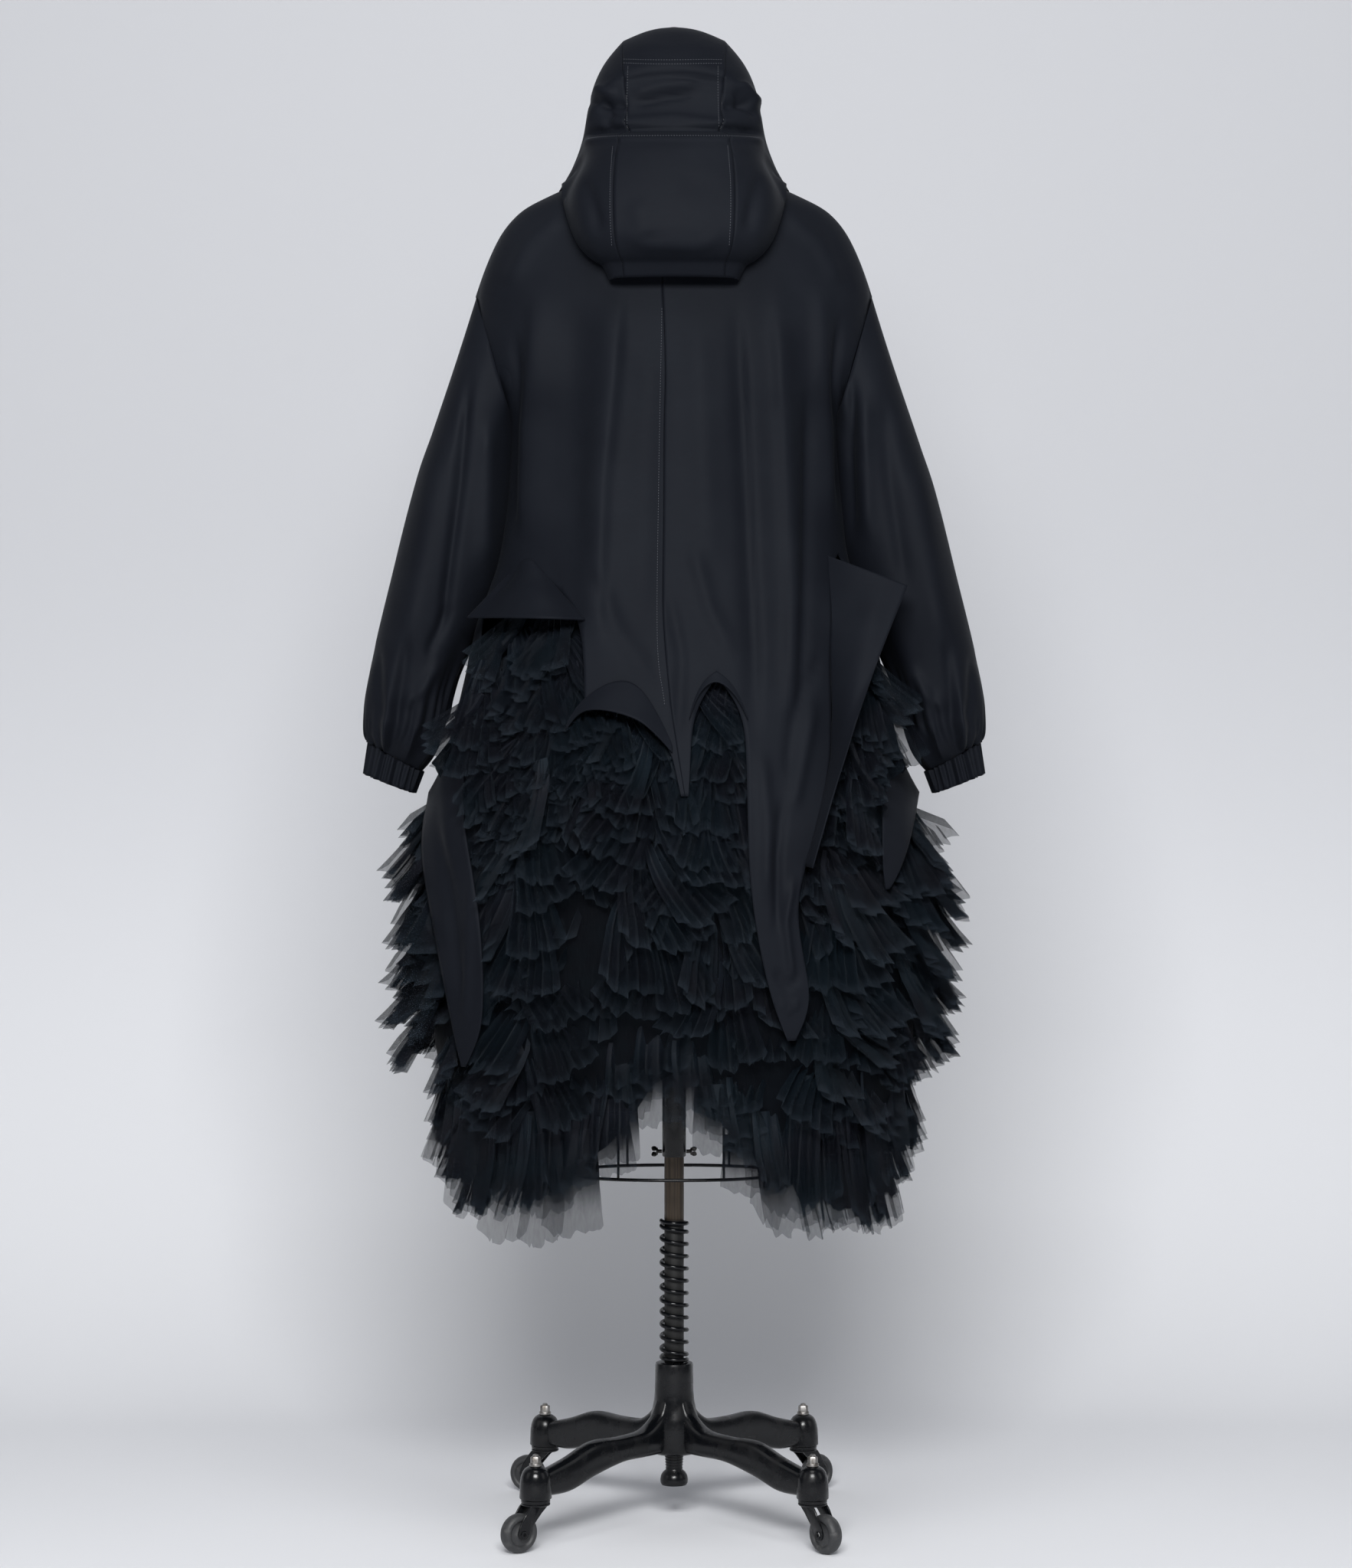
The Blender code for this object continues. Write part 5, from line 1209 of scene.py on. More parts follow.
    def flaps(self) -> None:
        """The turned-out edges over the openings of the back."""
        for part, side, flat, area, folds in (
                ("", "left", (0.18, 0.09), 0.0126, self.LEFT_FLAP),
                ("mid_", "left", (0.15, 0.06), 0.0058, ()),
                ("mid_", "right", (0.10, 0.025), 0.0012, ()),
                ("", "right", (0.14, 0.42), 0.0240, self.RIGHT_FLAP)):
            self._make(Panel(f"flap_{part}{side}", flat, area, folds, held="folded",
                             rests_on=f"coat_back_{side}", out=self.flap_out), COAT_FORM.outward)

    def tree(self, *names: str) -> BVHTree:
        """A search tree over some of the finished panels."""
        points: list[Sequence[float]] = []
        faces: list[list[int]] = []
        for name in names:
            mesh = self.shown[name].data
            start = len(points)
            points += corners_of(mesh).tolist()
            faces += [[start + corner for corner in face.vertices] for face in mesh.polygons]
        return BVHTree.FromPolygons(points, faces)

    def build(self) -> None:
        """Makes the whole coat."""
        self.body()
        self.sleeves()
        self.hood()
        self.flaps()


# ---------------------------------------------------------------- sewing
@dataclass
class Stitching:
    """Rows of stitches along the seams that show them."""

    frame: Frame
    palette: Palette
    coat: Coat
    pitch: float = 0.0034
    length: float = 0.0022
    radius: float = 0.00046

    SEAMS = {
        "hood": (("hood_centre", "hood_side_left", "hood_side_right"), (
            ((-0.0775, 1.772), (-0.0800, 1.725), (-0.0800, 1.680), (-0.0780, 1.644)),
            ((0.0675, 1.772), (0.0705, 1.725), (0.0705, 1.680), (0.0690, 1.644)),
            ((-0.0640, 1.8960), (-0.030, 1.8925), (0.010, 1.8920), (0.0600, 1.8950)),
            ((-0.0640, 1.8900), (-0.030, 1.8865), (0.010, 1.8860), (0.0600, 1.8890)),
            ((-0.0590, 1.884), (-0.0600, 1.850), (-0.0600, 1.805)),
            ((0.0560, 1.884), (0.0560, 1.850), (0.0570, 1.805)),
            ((-0.1100, 1.7900), (-0.050, 1.7865), (0.010, 1.7860), (0.060, 1.7870), (0.1080, 1.7905)))),
        "back": (("back_left", "back_right"), (
            ((-0.0155, 1.570), (-0.0195, 1.346), (-0.0210, 1.150), (-0.0120, 1.070)),)),
    }

    def _recipe(self) -> Recipe:
        """The nodes that lay stitches along a line."""
        recipe = Recipe("stitch_row")
        pitch, length, radius = (recipe.number(name) for name in ("Pitch", "Length", "Radius"))
        curve = recipe.node("GeometryNodeMeshToCurve", inputs={0: recipe.given.outputs["Geometry"]})
        spaced = recipe.node("GeometryNodeResampleCurve", {"mode": "LENGTH"},
                             {"Curve": curve.outputs[0], "Length": pitch})
        bead = recipe.node("GeometryNodeMeshUVSphere", inputs={"Segments": 6, "Rings": 5, "Radius": 1.0})
        size = recipe.node("ShaderNodeCombineXYZ", inputs={0: length * 0.5, 1: radius, 2: radius})
        tangent = recipe.node("GeometryNodeInputTangent")
        aim = recipe.node("FunctionNodeAlignRotationToVector", {"axis": "X"},
                          {"Vector": tangent.outputs[0]})
        laid = recipe.node("GeometryNodeInstanceOnPoints", inputs={
            "Points": spaced.outputs[0], "Instance": bead.outputs[0],
            "Rotation": aim.outputs[0], "Scale": size.outputs[0]})
        recipe.end(laid.outputs[0])
        return recipe

    def _line(self, tree: BVHTree, course: Sequence[Spot]) -> list[Vector]:
        """A seam's course laid on the cloth as it is seen from behind."""
        dense = smooth_rows(course, 14)
        laid = []
        for x, z in dense:
            hit, normal, _, _ = tree.ray_cast(Vector((x, -1.0, z)), Vector((0.0, 1.0, 0.0)))
            if hit is not None:
                laid.append(hit + normal * self.radius * 0.4)
        return laid

    def build(self) -> None:
        """Lays every row of stitches."""
        recipe = self._recipe()
        for name, (panels, courses) in self.SEAMS.items():
            tree = self.coat.tree(*panels)
            points: list[Vector] = []
            edges: list[tuple[int, int]] = []
            for course in courses:
                line = self._line(tree, course)
                edges += [(len(points) + at, len(points) + at + 1) for at in range(len(line) - 1)]
                points += line
            mesh = bpy.data.meshes.new(f"seam_{name}")
            mesh.from_pydata(points, edges, [])
            piece = recipe.run(link_mesh(f"seam_{name}", mesh), f"stitches_{name}", {
                "Pitch": self.pitch, "Length": self.length, "Radius": self.radius,
                "Finish": self.palette.thread})
            piece.data.shade_smooth()
            self.frame.add(piece, "gabardine", "form")


# ---------------------------------------------------------------- the ruffles
@dataclass(frozen=True)
class Frill:
    """One kind of gathered strip: its size and how it is pleated."""

    width: float
    drop: float
    lift: float
    pleats: float
    depth: float
    gather: float
    columns: int
    rows: int


class Kind(Enum):
    """The kinds of gathered strip."""

    FEATHER = Frill(0.084, 0.106, 0.056, 12.0, 0.0110, 0.40, 37, 6)
    FRILL = Frill(0.074, 0.094, 0.046, 10.0, 0.0100, 0.40, 31, 6)
    HEM = Frill(0.070, 0.150, 0.024, 7.0, 0.0070, 0.86, 29, 7)


@dataclass(frozen=True)
class Root:
    """Where one strip is sewn on: place, turn and size."""

    place: Point
    turn: Point
    size: Point


@dataclass(frozen=True)
class Stream:
    """A column of frills that pours from an opening of the back."""

    x_top: float
    x_low: float
    top: float
    low: float


@dataclass
class Ruffles:
    """All the gathered tulle, strip by strip, and the net that it is sewn to."""

    frame: Frame
    palette: Palette
    coat: Coat
    seed: int = 20
    levels: int = 2
    columns: int = 23
    row_top: float = 1.040
    row_low: float = 0.560
    row_step: float = 0.0258
    row_stray: float = 0.010
    turn_stray: float = 1.6
    lifts: Spot = (0.80, 1.15)
    sunk: float = 0.032
    stream_step: float = 0.0240
    stream_stray: Spot = (0.005, 0.006)
    stream_out: float = 0.005
    hem_rows: tuple[Point, ...] = (
        (0.600, 0.020, 0.026), (0.560, 0.008, 0.010), (0.515, 0.014, -0.008))
    hem_columns: int = 38
    hem_stray: Point = (1.5, 0.014, 0.006)
    hem_tilt: float = 5.0
    hem_drops: Spot = (0.075, 0.22)
    hem_lift: float = 0.022
    hem_show: float = 0.080
    hem_bend: float = 0.18
    clear: float = 0.0030
    inside: float = 0.110
    reach: float = 0.200
    shifts: tuple[Spot, ...] = ((0.0, 0.0), (0.012, 0.0), (-0.012, 0.0), (0.0, 0.016), (0.0, 0.006))
    thickness: float = 0.0004
    free_x: float = 0.222
    free_low: float = 0.985
    ragged: float = 0.30
    tremble: float = 0.009
    swirls: tuple[Spot, ...] = ((9.0, 1.0), (30.0, 0.34))
    yaw: float = 36.0
    widths: Spot = (0.86, 1.18)
    outs: Spot = (0.82, 1.10)
    drops: Spot = (0.90, 1.14)
    skirt_swing: Spot = (6.0, 32.0)
    stream_swing: Spot = (6.0, 34.0)
    stretch: float = 1.06
    back_y: float = 0.12

    STREAMS = (
        Stream(-0.240, -0.256, 1.130, 0.965), Stream(-0.216, -0.226, 1.172, 0.975),
        Stream(-0.188, -0.194, 1.190, 0.985), Stream(-0.156, -0.160, 1.190, 0.985),
        Stream(-0.128, -0.134, 1.180, 0.985), Stream(-0.108, -0.110, 1.066, 0.985),
        Stream(-0.078, -0.080, 1.084, 0.985), Stream(-0.046, -0.048, 1.074, 0.985),
        Stream(-0.018, -0.020, 1.036, 0.985), Stream(0.038, 0.036, 1.094, 0.985),
        Stream(0.066, 0.066, 1.104, 0.985), Stream(0.206, 0.204, 1.130, 0.985),
        Stream(0.228, 0.230, 1.166, 0.970), Stream(0.244, 0.256, 1.130, 0.965),
    )

    def _recipe(self) -> Recipe:
        """The nodes that pleat one strip, set it on every root and ruffle the whole."""
        recipe = Recipe("gathered_strips")
        pleats, depth, lift, gather, ragged, tremble = (
            recipe.number(name) for name in ("Pleats", "Depth", "Lift", "Gather", "Ragged", "Tremble"))
        columns = recipe.ask("Columns", "NodeSocketInt")
        rows = recipe.ask("Rows", "NodeSocketInt")
        seed = recipe.number("Seed")
        grid = recipe.node("GeometryNodeMeshGrid", inputs={
            "Size X": 1.0, "Size Y": 1.0, "Vertices X": columns, "Vertices Y": rows})
        place = recipe.node("GeometryNodeInputPosition").outputs[0]
        grid_x, grid_y, _ = recipe.split(place)
        across = grid_x * 2.0
        down = 0.5 - grid_y
        marked = recipe.node("GeometryNodeStoreNamedAttribute", {"data_type": "FLOAT", "domain": "POINT"}, {
            "Geometry": grid.outputs[0], "Name": "drop", "Value": down})
        uneven = across + (across * 6.0 + 0.7).sine() * 0.045
        fold = (uneven * pleats * 0.5 + 20.0).zigzag() * depth * (0.30 + down * 0.70)
        ruffled = recipe.term("ShaderNodeTexNoise", {"noise_dimensions": "1D"},
                              {"W": across * 2.6, "Scale": 1.0, "Detail": 1.0})
        spread = gather + (1.0 - gather) * down ** 0.75
        hang = down * (1.0 + (ruffled - 0.5) * ragged) * (1.0 - across * across * 0.10)
        shape = recipe.node("ShaderNodeCombineXYZ", inputs={
            0: across * 0.5 * spread, 1: lift * down ** 1.35 + fold, 2: 0.0 - hang})
        strip = recipe.node("GeometryNodeSetPosition", inputs={
            "Geometry": marked.outputs[0], "Position": shape.outputs[0]})
        turn = recipe.node("FunctionNodeEulerToRotation", inputs={0: recipe.attribute("turn")})
        sewn = recipe.node("GeometryNodeInstanceOnPoints", inputs={
            "Points": recipe.given.outputs["Geometry"], "Instance": strip.outputs[0],
            "Rotation": turn.outputs[0], "Scale": recipe.attribute("size")})
        real = recipe.node("GeometryNodeRealizeInstances", inputs={0: sewn.outputs[0]})
        spot = recipe.node("GeometryNodeInputPosition").outputs[0]
        moved = real.outputs[0]
        loose = recipe.term("GeometryNodeInputNamedAttribute", {"data_type": "FLOAT"}, {"Name": "drop"})
        for scale, share in self.swirls:
            swirl = recipe.node("ShaderNodeTexNoise", {"noise_dimensions": "4D"},
                                {"Vector": spot, "W": seed, "Scale": scale, "Detail": 1.0})
            centred = recipe.node("ShaderNodeVectorMath", {"operation": "SUBTRACT"},
                                  {0: swirl.outputs["Color"], 1: (0.5, 0.5, 0.5)})
            push = recipe.node("ShaderNodeVectorMath", {"operation": "SCALE"},
                               {0: centred.outputs[0], "Scale": tremble * (2.0 * share) * (0.15 + loose)})
            moved = recipe.node("GeometryNodeSetPosition", inputs={
                "Geometry": moved, "Offset": push.outputs[0]}).outputs[0]
        recipe.end(moved)
        return recipe

    def _root(self, draw: random.Random, place: np.ndarray, tilt: float, kind: Frill,
              drop: float | None = None) -> Root:
        """Where and how one strip is sewn on.

        Args:
            draw: The source of chance.
            place: The point where the strip is sewn on.
            tilt: How far it is turned in the cloth's plane, in degrees.
            kind: The strip's kind.
            drop: Its own drop, where it isn't the kind's.

        Returns:
            The root.
        """
        out, up = Vector(NET_FORM.outward(place[None, :])[0]), Vector((0.0, 0.0, 1.0))
        stand = Matrix((out.cross(up).normalized(), out, up)).transposed()
        yaw = Matrix.Rotation(math.radians(jitter(draw, self.yaw)), 3, "Z")
        turn = (Matrix.Rotation(math.radians(tilt), 3, out) @ yaw @ stand).to_euler()
        size = (kind.width * draw.uniform(*self.widths), draw.uniform(*self.outs),
                (drop or kind.drop) * draw.uniform(*self.drops))
        return Root(tuple(float(part) for part in place), tuple(turn), size)

    def _skirt_roots(self) -> list[Root]:
        """Strips in zigzag columns all round, under the tails and the coat's hem."""
        draw = random.Random(self.seed)
        kind = Kind.FEATHER.value
        roots = []
        rows = int((self.row_top - self.row_low) / self.row_step) + 1
        angles = RUFFLE_FORM.even_angles(0.75, self.columns * 4)
        for column in range(self.columns):
            phase = draw.uniform(0.0, self.row_step)
            sunk = self.sunk * (column % 2)
            for row in range(rows):
                z = self.row_top - phase - row * self.row_step + jitter(draw, self.row_stray)
                swing = (-1.0, 1.0)[row % 2]
                angle = angles[(column * 4 + row % 2 + 2) % len(angles)] + jitter(draw, self.turn_stray)
                rim = RUFFLE_FORM.point(z - kind.drop, angle)
                if z - kind.drop < self._hem_height(rim[0]) + self.hem_show:
                    continue
                out = RUFFLE_FORM.outward(rim[None, :])[0]
                place = rim - out * (kind.lift * draw.uniform(*self.lifts) + sunk)
                place[2] = z
                roots.append(self._root(draw, place, swing * draw.uniform(*self.skirt_swing), kind))
        return roots

    def _hem_height(self, x: float) -> float:
        """Height of the lowest hem at a distance from the centre."""
        table = np.array(LOW_HEM)
        return float(np.interp(abs(x), table[:, 0], table[:, 1]))

    def _hem_roots(self) -> list[Root]:
        """Long strips of the lowest hem, which rises in the middle."""
        draw = random.Random(self.seed + 1)
        kind = Kind.HEM.value
        roots = []
        angles = RUFFLE_FORM.even_angles(0.5, self.hem_columns)
        around, low_stray, top_stray = self.hem_stray
        shortest, longest = self.hem_drops
        for row, (top, sunk, above) in enumerate(self.hem_rows):
            for first in angles:
                angle = first + (0.5 * row) * 360.0 / self.hem_columns + jitter(draw, around)
                rim = RUFFLE_FORM.point(top - 0.10, angle)
                out = RUFFLE_FORM.outward(rim[None, :])[0]
                place = rim - out * (kind.lift + sunk)
                low = self._hem_height(rim[0]) + above + jitter(draw, low_stray)
                place[2] = max(top + jitter(draw, top_stray), low + shortest)
                drop = min(longest, place[2] - low)
                roots.append(self._root(draw, place, jitter(draw, self.hem_tilt), kind, drop))
        return roots

    def _stream_roots(self) -> list[Root]:
        """Small frills that pour from the four openings of the back."""
        draw = random.Random(self.seed + 2)
        kind = Kind.FRILL.value
        roots = []
        aside, above = self.stream_stray
        for number, stream in enumerate(self.STREAMS):
            rows = int((stream.top - stream.low) / self.stream_step) + 1
            under = COAT_FORM if abs(stream.x_top) > self.free_x else NET_FORM
            for row in range(rows):
                share = row / max(1, rows - 1)
                x = stream.x_top + (stream.x_low - stream.x_top) * share + jitter(draw, aside)
                z = stream.top - row * self.stream_step + jitter(draw, above)
                wide, back, _ = under.sizes(z)
                depth = float(back) * bulge(min(0.985, abs(x) / float(wide)))
                place = np.array([x, -depth - self.stream_out, z])
                swing = (-1.0, 1.0)[(row + number) % 2]
                roots.append(self._root(draw, place, swing * draw.uniform(*self.stream_swing), kind))
        return roots

    def _press(self, points: np.ndarray, tree: BVHTree) -> np.ndarray:
        """Keeps the net under the coat: what would pass through a panel is pressed inward.

        Args:
            points: The net's points.
            tree: A search tree over the coat's panels.

        Returns:
            The pressed points.
        """
        ways = NET_FORM.outward(points)
        levels = np.stack([-ways[:, 1], ways[:, 0], np.zeros(len(points))], axis=1)
        pressed = points.copy()
        free = (np.abs(points[:, 0]) > self.free_x) & (points[:, 2] > self.free_low) & (points[:, 1] < 0.0)
        for index, (point, way, level) in enumerate(zip(points, ways, levels)):
            if free[index]:
                continue
            nearest = self.reach
            for aside, above in self.shifts:
                start = point - way * self.inside + level * aside
                hit = tree.ray_cast((start[0], start[1], start[2] + above), way, self.reach)
                if hit[0] is not None:
                    nearest = min(nearest, hit[3])
            if nearest - self.clear < self.inside:
                pressed[index] = point - way * (self.inside - (nearest - self.clear))
        return pressed

    def _strips(self, recipe: Recipe, name: str, kind: Kind, roots: Sequence[Root], tree: BVHTree,
                *nodes: str) -> None:
        """Makes one piece of ruffles.

        Args:
            recipe: The nodes that make the strips.
            name: The piece's name.
            kind: The strips' kind.
            roots: Where they are sewn on.
            tree: A search tree over the coat's panels.
            nodes: The frame nodes that the piece stands for.
        """
        mesh = bpy.data.meshes.new(name)
        mesh.from_pydata([root.place for root in roots], [], [])
        for label in ("turn", "size"):
            layer = mesh.attributes.new(label, "FLOAT_VECTOR", "POINT")
            values = np.array([getattr(root, label) for root in roots], np.float32)
            layer.data.foreach_set("vector", values.ravel())
        frill = kind.value
        piece = recipe.run(link_mesh(f"roots_{name}", mesh), name, {
            "Pleats": frill.pleats, "Depth": frill.depth, "Lift": frill.lift, "Gather": frill.gather,
            "Ragged": self.ragged, "Tremble": self.tremble, "Columns": frill.columns, "Rows": frill.rows,
            "Seed": float(self.seed),
            "Finish": self.palette.hem if kind is Kind.HEM else self.palette.tulle})
        move_to(piece.data, self._press(corners_of(piece.data), tree))
        wall = piece.modifiers.new("wall", "SOLIDIFY")
        wall.thickness = self.thickness
        wall.offset = 0.0
        settle(piece)
        piece.data.shade_flat()
        self.frame.dress(piece, "tulle", *nodes)
        build = bmesh.new()
        build.from_mesh(piece.data)
        area = sum(face.calc_area() for face in build.faces) / 2.0
        build.free()
        deep = frill.drop * self.stretch
        round(area / deep, 2)

    def _foundation(self, tree: BVHTree) -> None:
        """The net that the strips are sewn to, its hem drawn up to that of the ruffles."""
        base = refined(self.frame.nodes["underskirt"], "net_foundation", self.levels,
                       self.palette.foundation)
        points = corners_of(base.data)
        low, bend = NET_FORM.rows[-1][0], self.hem_bend
        hem = np.array([max(low, self._hem_height(x) + self.hem_lift) for x in points[:, 0]])
        points[:, 2] += (hem - low) * np.clip((low + bend - points[:, 2]) / bend, 0.0, 1.0)
        move_to(base.data, self._press(points, tree))
        self.frame.dress(base, "tulle", "underskirt")

    def build(self) -> None:
        """Makes the foundation and every piece of ruffles."""
        tree = self.coat.tree("back_left", "back_right", "front_left", "front_right",
                              "flap_left", "flap_mid_left", "flap_mid_right", "flap_right")
        self._foundation(tree)
        recipe = self._recipe()
        nodes = {"back_left": "ruffle_tier_1", "back_right": "ruffle_tier_2", "left": "ruffle_tier_3",
                 "right": "ruffle_tier_4", "front": "ruffle_tier_5"}
        groups: dict[str, list[Root]] = {label: [] for label in nodes}
        for root in self._skirt_roots():
            x, y, _ = root.place
            side = "left" if x < 0 else "right"
            label = f"back_{side}" if y < -self.back_y else "front" if y > self.back_y else side
            groups[label].append(root)
        for label, roots in groups.items():
            self._strips(recipe, f"ruffles_{label}", Kind.FEATHER, roots, tree, nodes[label])
        self._strips(recipe, "ruffles_hem", Kind.HEM, self._hem_roots(), tree, "ruffle_tier_6")
        self._strips(recipe, "ruffles_openings", Kind.FRILL, self._stream_roots(), tree,
                     "cascade_left", "cascade_mid_left", "cascade_mid_right", "cascade_right")


# ---------------------------------------------------------------- the form and its stand
@dataclass(frozen=True)
class LegStation:
    """One cross-section of a leg of the base."""

    reach: float
    top: float
    low: float
    half_width: float


@dataclass(frozen=True)
class CasterSpot:
    """Where a caster stands and which way it trails."""

    name: str
    x: float
    y: float
    heading: float

    def place(self) -> Matrix:
        """The turn and shift from a caster at the origin that trails along +X."""
        turn = Matrix.Rotation(math.radians(self.heading), 4, "Z")
        return Matrix.Translation((self.x, self.y, 0.0)) @ turn


@dataclass
class Stand:
    """The dress form, its wire cage and the cast-iron stand on casters."""

    frame: Frame
    palette: Palette
    sides: int = 48
    ring_z: float = 0.457
    ring_half: Spot = (0.1365, 0.0825)
    ring_wire: float = 0.0022
    stave_wire: float = 0.0017
    torso_low: float = 0.950
    tube: Point = (0.0155, 0.0131, 0.4785)
    pole_radius: float = 0.01275
    spring_radius: float = 0.01675
    spring_wire: float = 0.00275
    spring_turns: float = 12.5
    spring_span: Spot = (0.209, 0.397)
    spread: float = 0.175
    wheel: Point = (0.025, 0.019, 0.0034)
    trail: float = 0.025
    levels: int = 2
    gap: float = 0.0003
    stave_out: float = 0.150 * 0.93
    stave_deep: float = 1.22
    fork_wall: Spot = (0.0008, 0.0032)
    axle_end: float = 0.0047
    screw_z: float = 0.485
    wing_at: Point = (0.0040, 0.0, 0.0262)
    thread_low: float = 0.0700
    thread_pitch: float = 0.0036
    spring_kept: float = 0.787
    ring_points: int = 96
    turn_points: int = 36

    STAVES = ((-0.1365, 1), (0.1365, 1), (-0.118, -1), (-0.072, -1),
              (0.064, -1), (0.116, -1), (-0.062, 1), (0.073, 1))
    LEG = (LegStation(0.0160, 0.190, 0.0925, 0.0115), LegStation(0.0260, 0.160, 0.0925, 0.0120),
           LegStation(0.0360, 0.142, 0.0925, 0.0125), LegStation(0.0600, 0.127, 0.0925, 0.0130),
           LegStation(0.1000, 0.124, 0.0915, 0.0125), LegStation(0.1500, 0.1245, 0.0806, 0.0120),
           LegStation(0.1950, 0.110, 0.0675, 0.0115), LegStation(0.2475, 0.096, 0.0680, 0.0110))
    HUB = ((0.0132, 0.2090), (0.0212, 0.2090), (0.0238, 0.2080), (0.0247, 0.2050), (0.0250, 0.190),
           (0.0252, 0.172), (0.0262, 0.160), (0.0285, 0.148), (0.0308, 0.139), (0.0328, 0.130),
           (0.0330, 0.115), (0.0330, 0.098), (0.0318, 0.0935), (0.0270, 0.0900), (0.0132, 0.0900))
    BELL = ((0.0, 0.1070), (0.0070, 0.1070), (0.0100, 0.1062), (0.0140, 0.1035), (0.0165, 0.1000),
            (0.0185, 0.0945), (0.0197, 0.0880), (0.0202, 0.0780), (0.0205, 0.0670), (0.0198, 0.0660),
            (0.0, 0.0660))
    FOOT = ((0.0, 0.0997), (0.0118, 0.0997), (0.0124, 0.0990), (0.0115, 0.0840), (0.0106, 0.0700),
            (0.0112, 0.0672), (0.0150, 0.0640), (0.0172, 0.0600), (0.0182, 0.0550), (0.0180, 0.0510),
            (0.0165, 0.0480), (0.0, 0.0480))
    SCREW = ((0.0, 0.0236), (0.0046, 0.0236), (0.0050, 0.0230), (0.0050, 0.0216), (0.0030, 0.0210),
             (0.0024, 0.0205), (0.0024, 0.0159), (0.0, 0.0159))
    WING = ((-0.0030, 0.0022, 0.0012), (-0.0010, 0.0032, 0.0016), (0.0012, 0.0036, 0.0017),
            (0.0026, 0.0026, 0.0013), (0.0031, 0.0010, 0.0006))
    RACE = ((0.0, 0.0657), (0.0175, 0.0657), (0.0185, 0.0650), (0.0185, 0.0622), (0.0170, 0.0616),
            (0.0170, 0.0606), (0.0185, 0.0600), (0.0185, 0.0586), (0.0178, 0.0580), (0.0, 0.0580))
    ARM = ((-0.0125, 0.0600), (-0.002, 0.0602), (0.0130, 0.0600), (0.0245, 0.0450), (0.0320, 0.0310),
           (0.0325, 0.0245), (0.0300, 0.0195), (0.0250, 0.0178), (0.0195, 0.0200), (0.0120, 0.0330),
           (-0.0020, 0.0500))
    NUTS = (
        (32, ((0.0, 0.1105), (0.0078, 0.1105), (0.0080, 0.1100), (0.0080, 0.1075), (0.0, 0.1075))),
        (6, ((0.0, 0.1192), (0.0058, 0.1192), (0.0066, 0.1180), (0.0066, 0.1105), (0.0, 0.1105))),
        (24, ((0.0, 0.1219), (0.0026, 0.1219), (0.0036, 0.1212), (0.0038, 0.1180), (0.0, 0.1180))))
    CASTERS = (
        CasterSpot("back_left", -0.175, -0.175, 214.0), CasterSpot("back_right", 0.175, -0.175, 309.0),
        CasterSpot("front_left", -0.175, 0.175, 160.0), CasterSpot("front_right", 0.175, 0.175, 40.0))

    def _wire_recipe(self) -> Recipe:
        """The nodes that turn paths into round wire."""
        recipe = Recipe("round_wire")
        radius = recipe.number("Radius")
        sides = recipe.ask("Sides", "NodeSocketInt")
        curve = recipe.node("GeometryNodeMeshToCurve", inputs={0: recipe.given.outputs["Geometry"]})
        ring = recipe.node("GeometryNodeCurvePrimitiveCircle", {"mode": "RADIUS"},
                           {"Resolution": sides, "Radius": radius})
        wire = recipe.node("GeometryNodeCurveToMesh", inputs={
            "Curve": curve.outputs[0], "Profile Curve": ring.outputs[0], "Fill Caps": True})
        recipe.end(wire.outputs[0])
        return recipe

    def _wire(self, recipe: Recipe, name: str, paths: Sequence[Sequence[Sequence[float]]], closed: bool,
              radius: float, sides: int, material: bpy.types.Material) -> bpy.types.Object:
        """Round wire along paths, as one plain mesh."""
        points: list[Sequence[float]] = []
        edges: list[tuple[int, int]] = []
        for path in paths:
            start = len(points)
            points += [tuple(float(part) for part in point) for point in path]
            edges += [(start + at, start + at + 1) for at in range(len(path) - 1)]
            if closed:
                edges.append((start + len(path) - 1, start))
        mesh = bpy.data.meshes.new(name)
        mesh.from_pydata(points, edges, [])
        piece = recipe.run(link_mesh(f"path_{name}", mesh), name,
                           {"Radius": radius, "Sides": sides, "Finish": material})
        return shade(piece, 60.0)

    def _ring_point(self, x: float, side: float) -> Spot:
        """A point of the cage's ring with this x, on its front or its back half."""
        return x, side * self.ring_half[1] * bulge(min(1.0, abs(x) / self.ring_half[0]))

    def form(self) -> None:
        """The limbless torso and the head block."""
        for node, name in (("form_torso", "form_torso_cover"), ("head_block", "head_block_cover")):
            piece = refined(self.frame.nodes[node], name, self.levels, self.palette.cover)
            self.frame.dress(piece, "form_cover", node)

    def cage(self, recipe: Recipe) -> None:
        """The wire ring and the staves that rise from it."""
        power = 2.0 / BODY_POWER
        loop = []
        for number in range(self.ring_points):
            turn = 2.0 * math.pi * number / self.ring_points
            loop.append((self.ring_half[0] * rounded(math.cos(turn), power),
                         self.ring_half[1] * rounded(math.sin(turn), power), self.ring_z))
        ring = self._wire(recipe, "cage_ring", [loop], True, self.ring_wire, 12, self.palette.cage)
        paths = []
        for x, side in self.STAVES:
            across, deep = self._ring_point(x, side)
            rows = [(across, deep, self.ring_z - 0.0006), (across, deep, self.ring_z + 0.10),
                    (self.stave_out * across / self.ring_half[0], self.stave_deep * deep,
                     self.torso_low - self.gap)]
            paths.append(smooth_rows(rows, 10))
        self.frame.dress(ring, "cage_wire", "cage")
        staves = self._wire(recipe, "cage_staves", paths, False, self.stave_wire, 10, self.palette.cage)
        self.frame.add(staves, "cage_wire", "form")

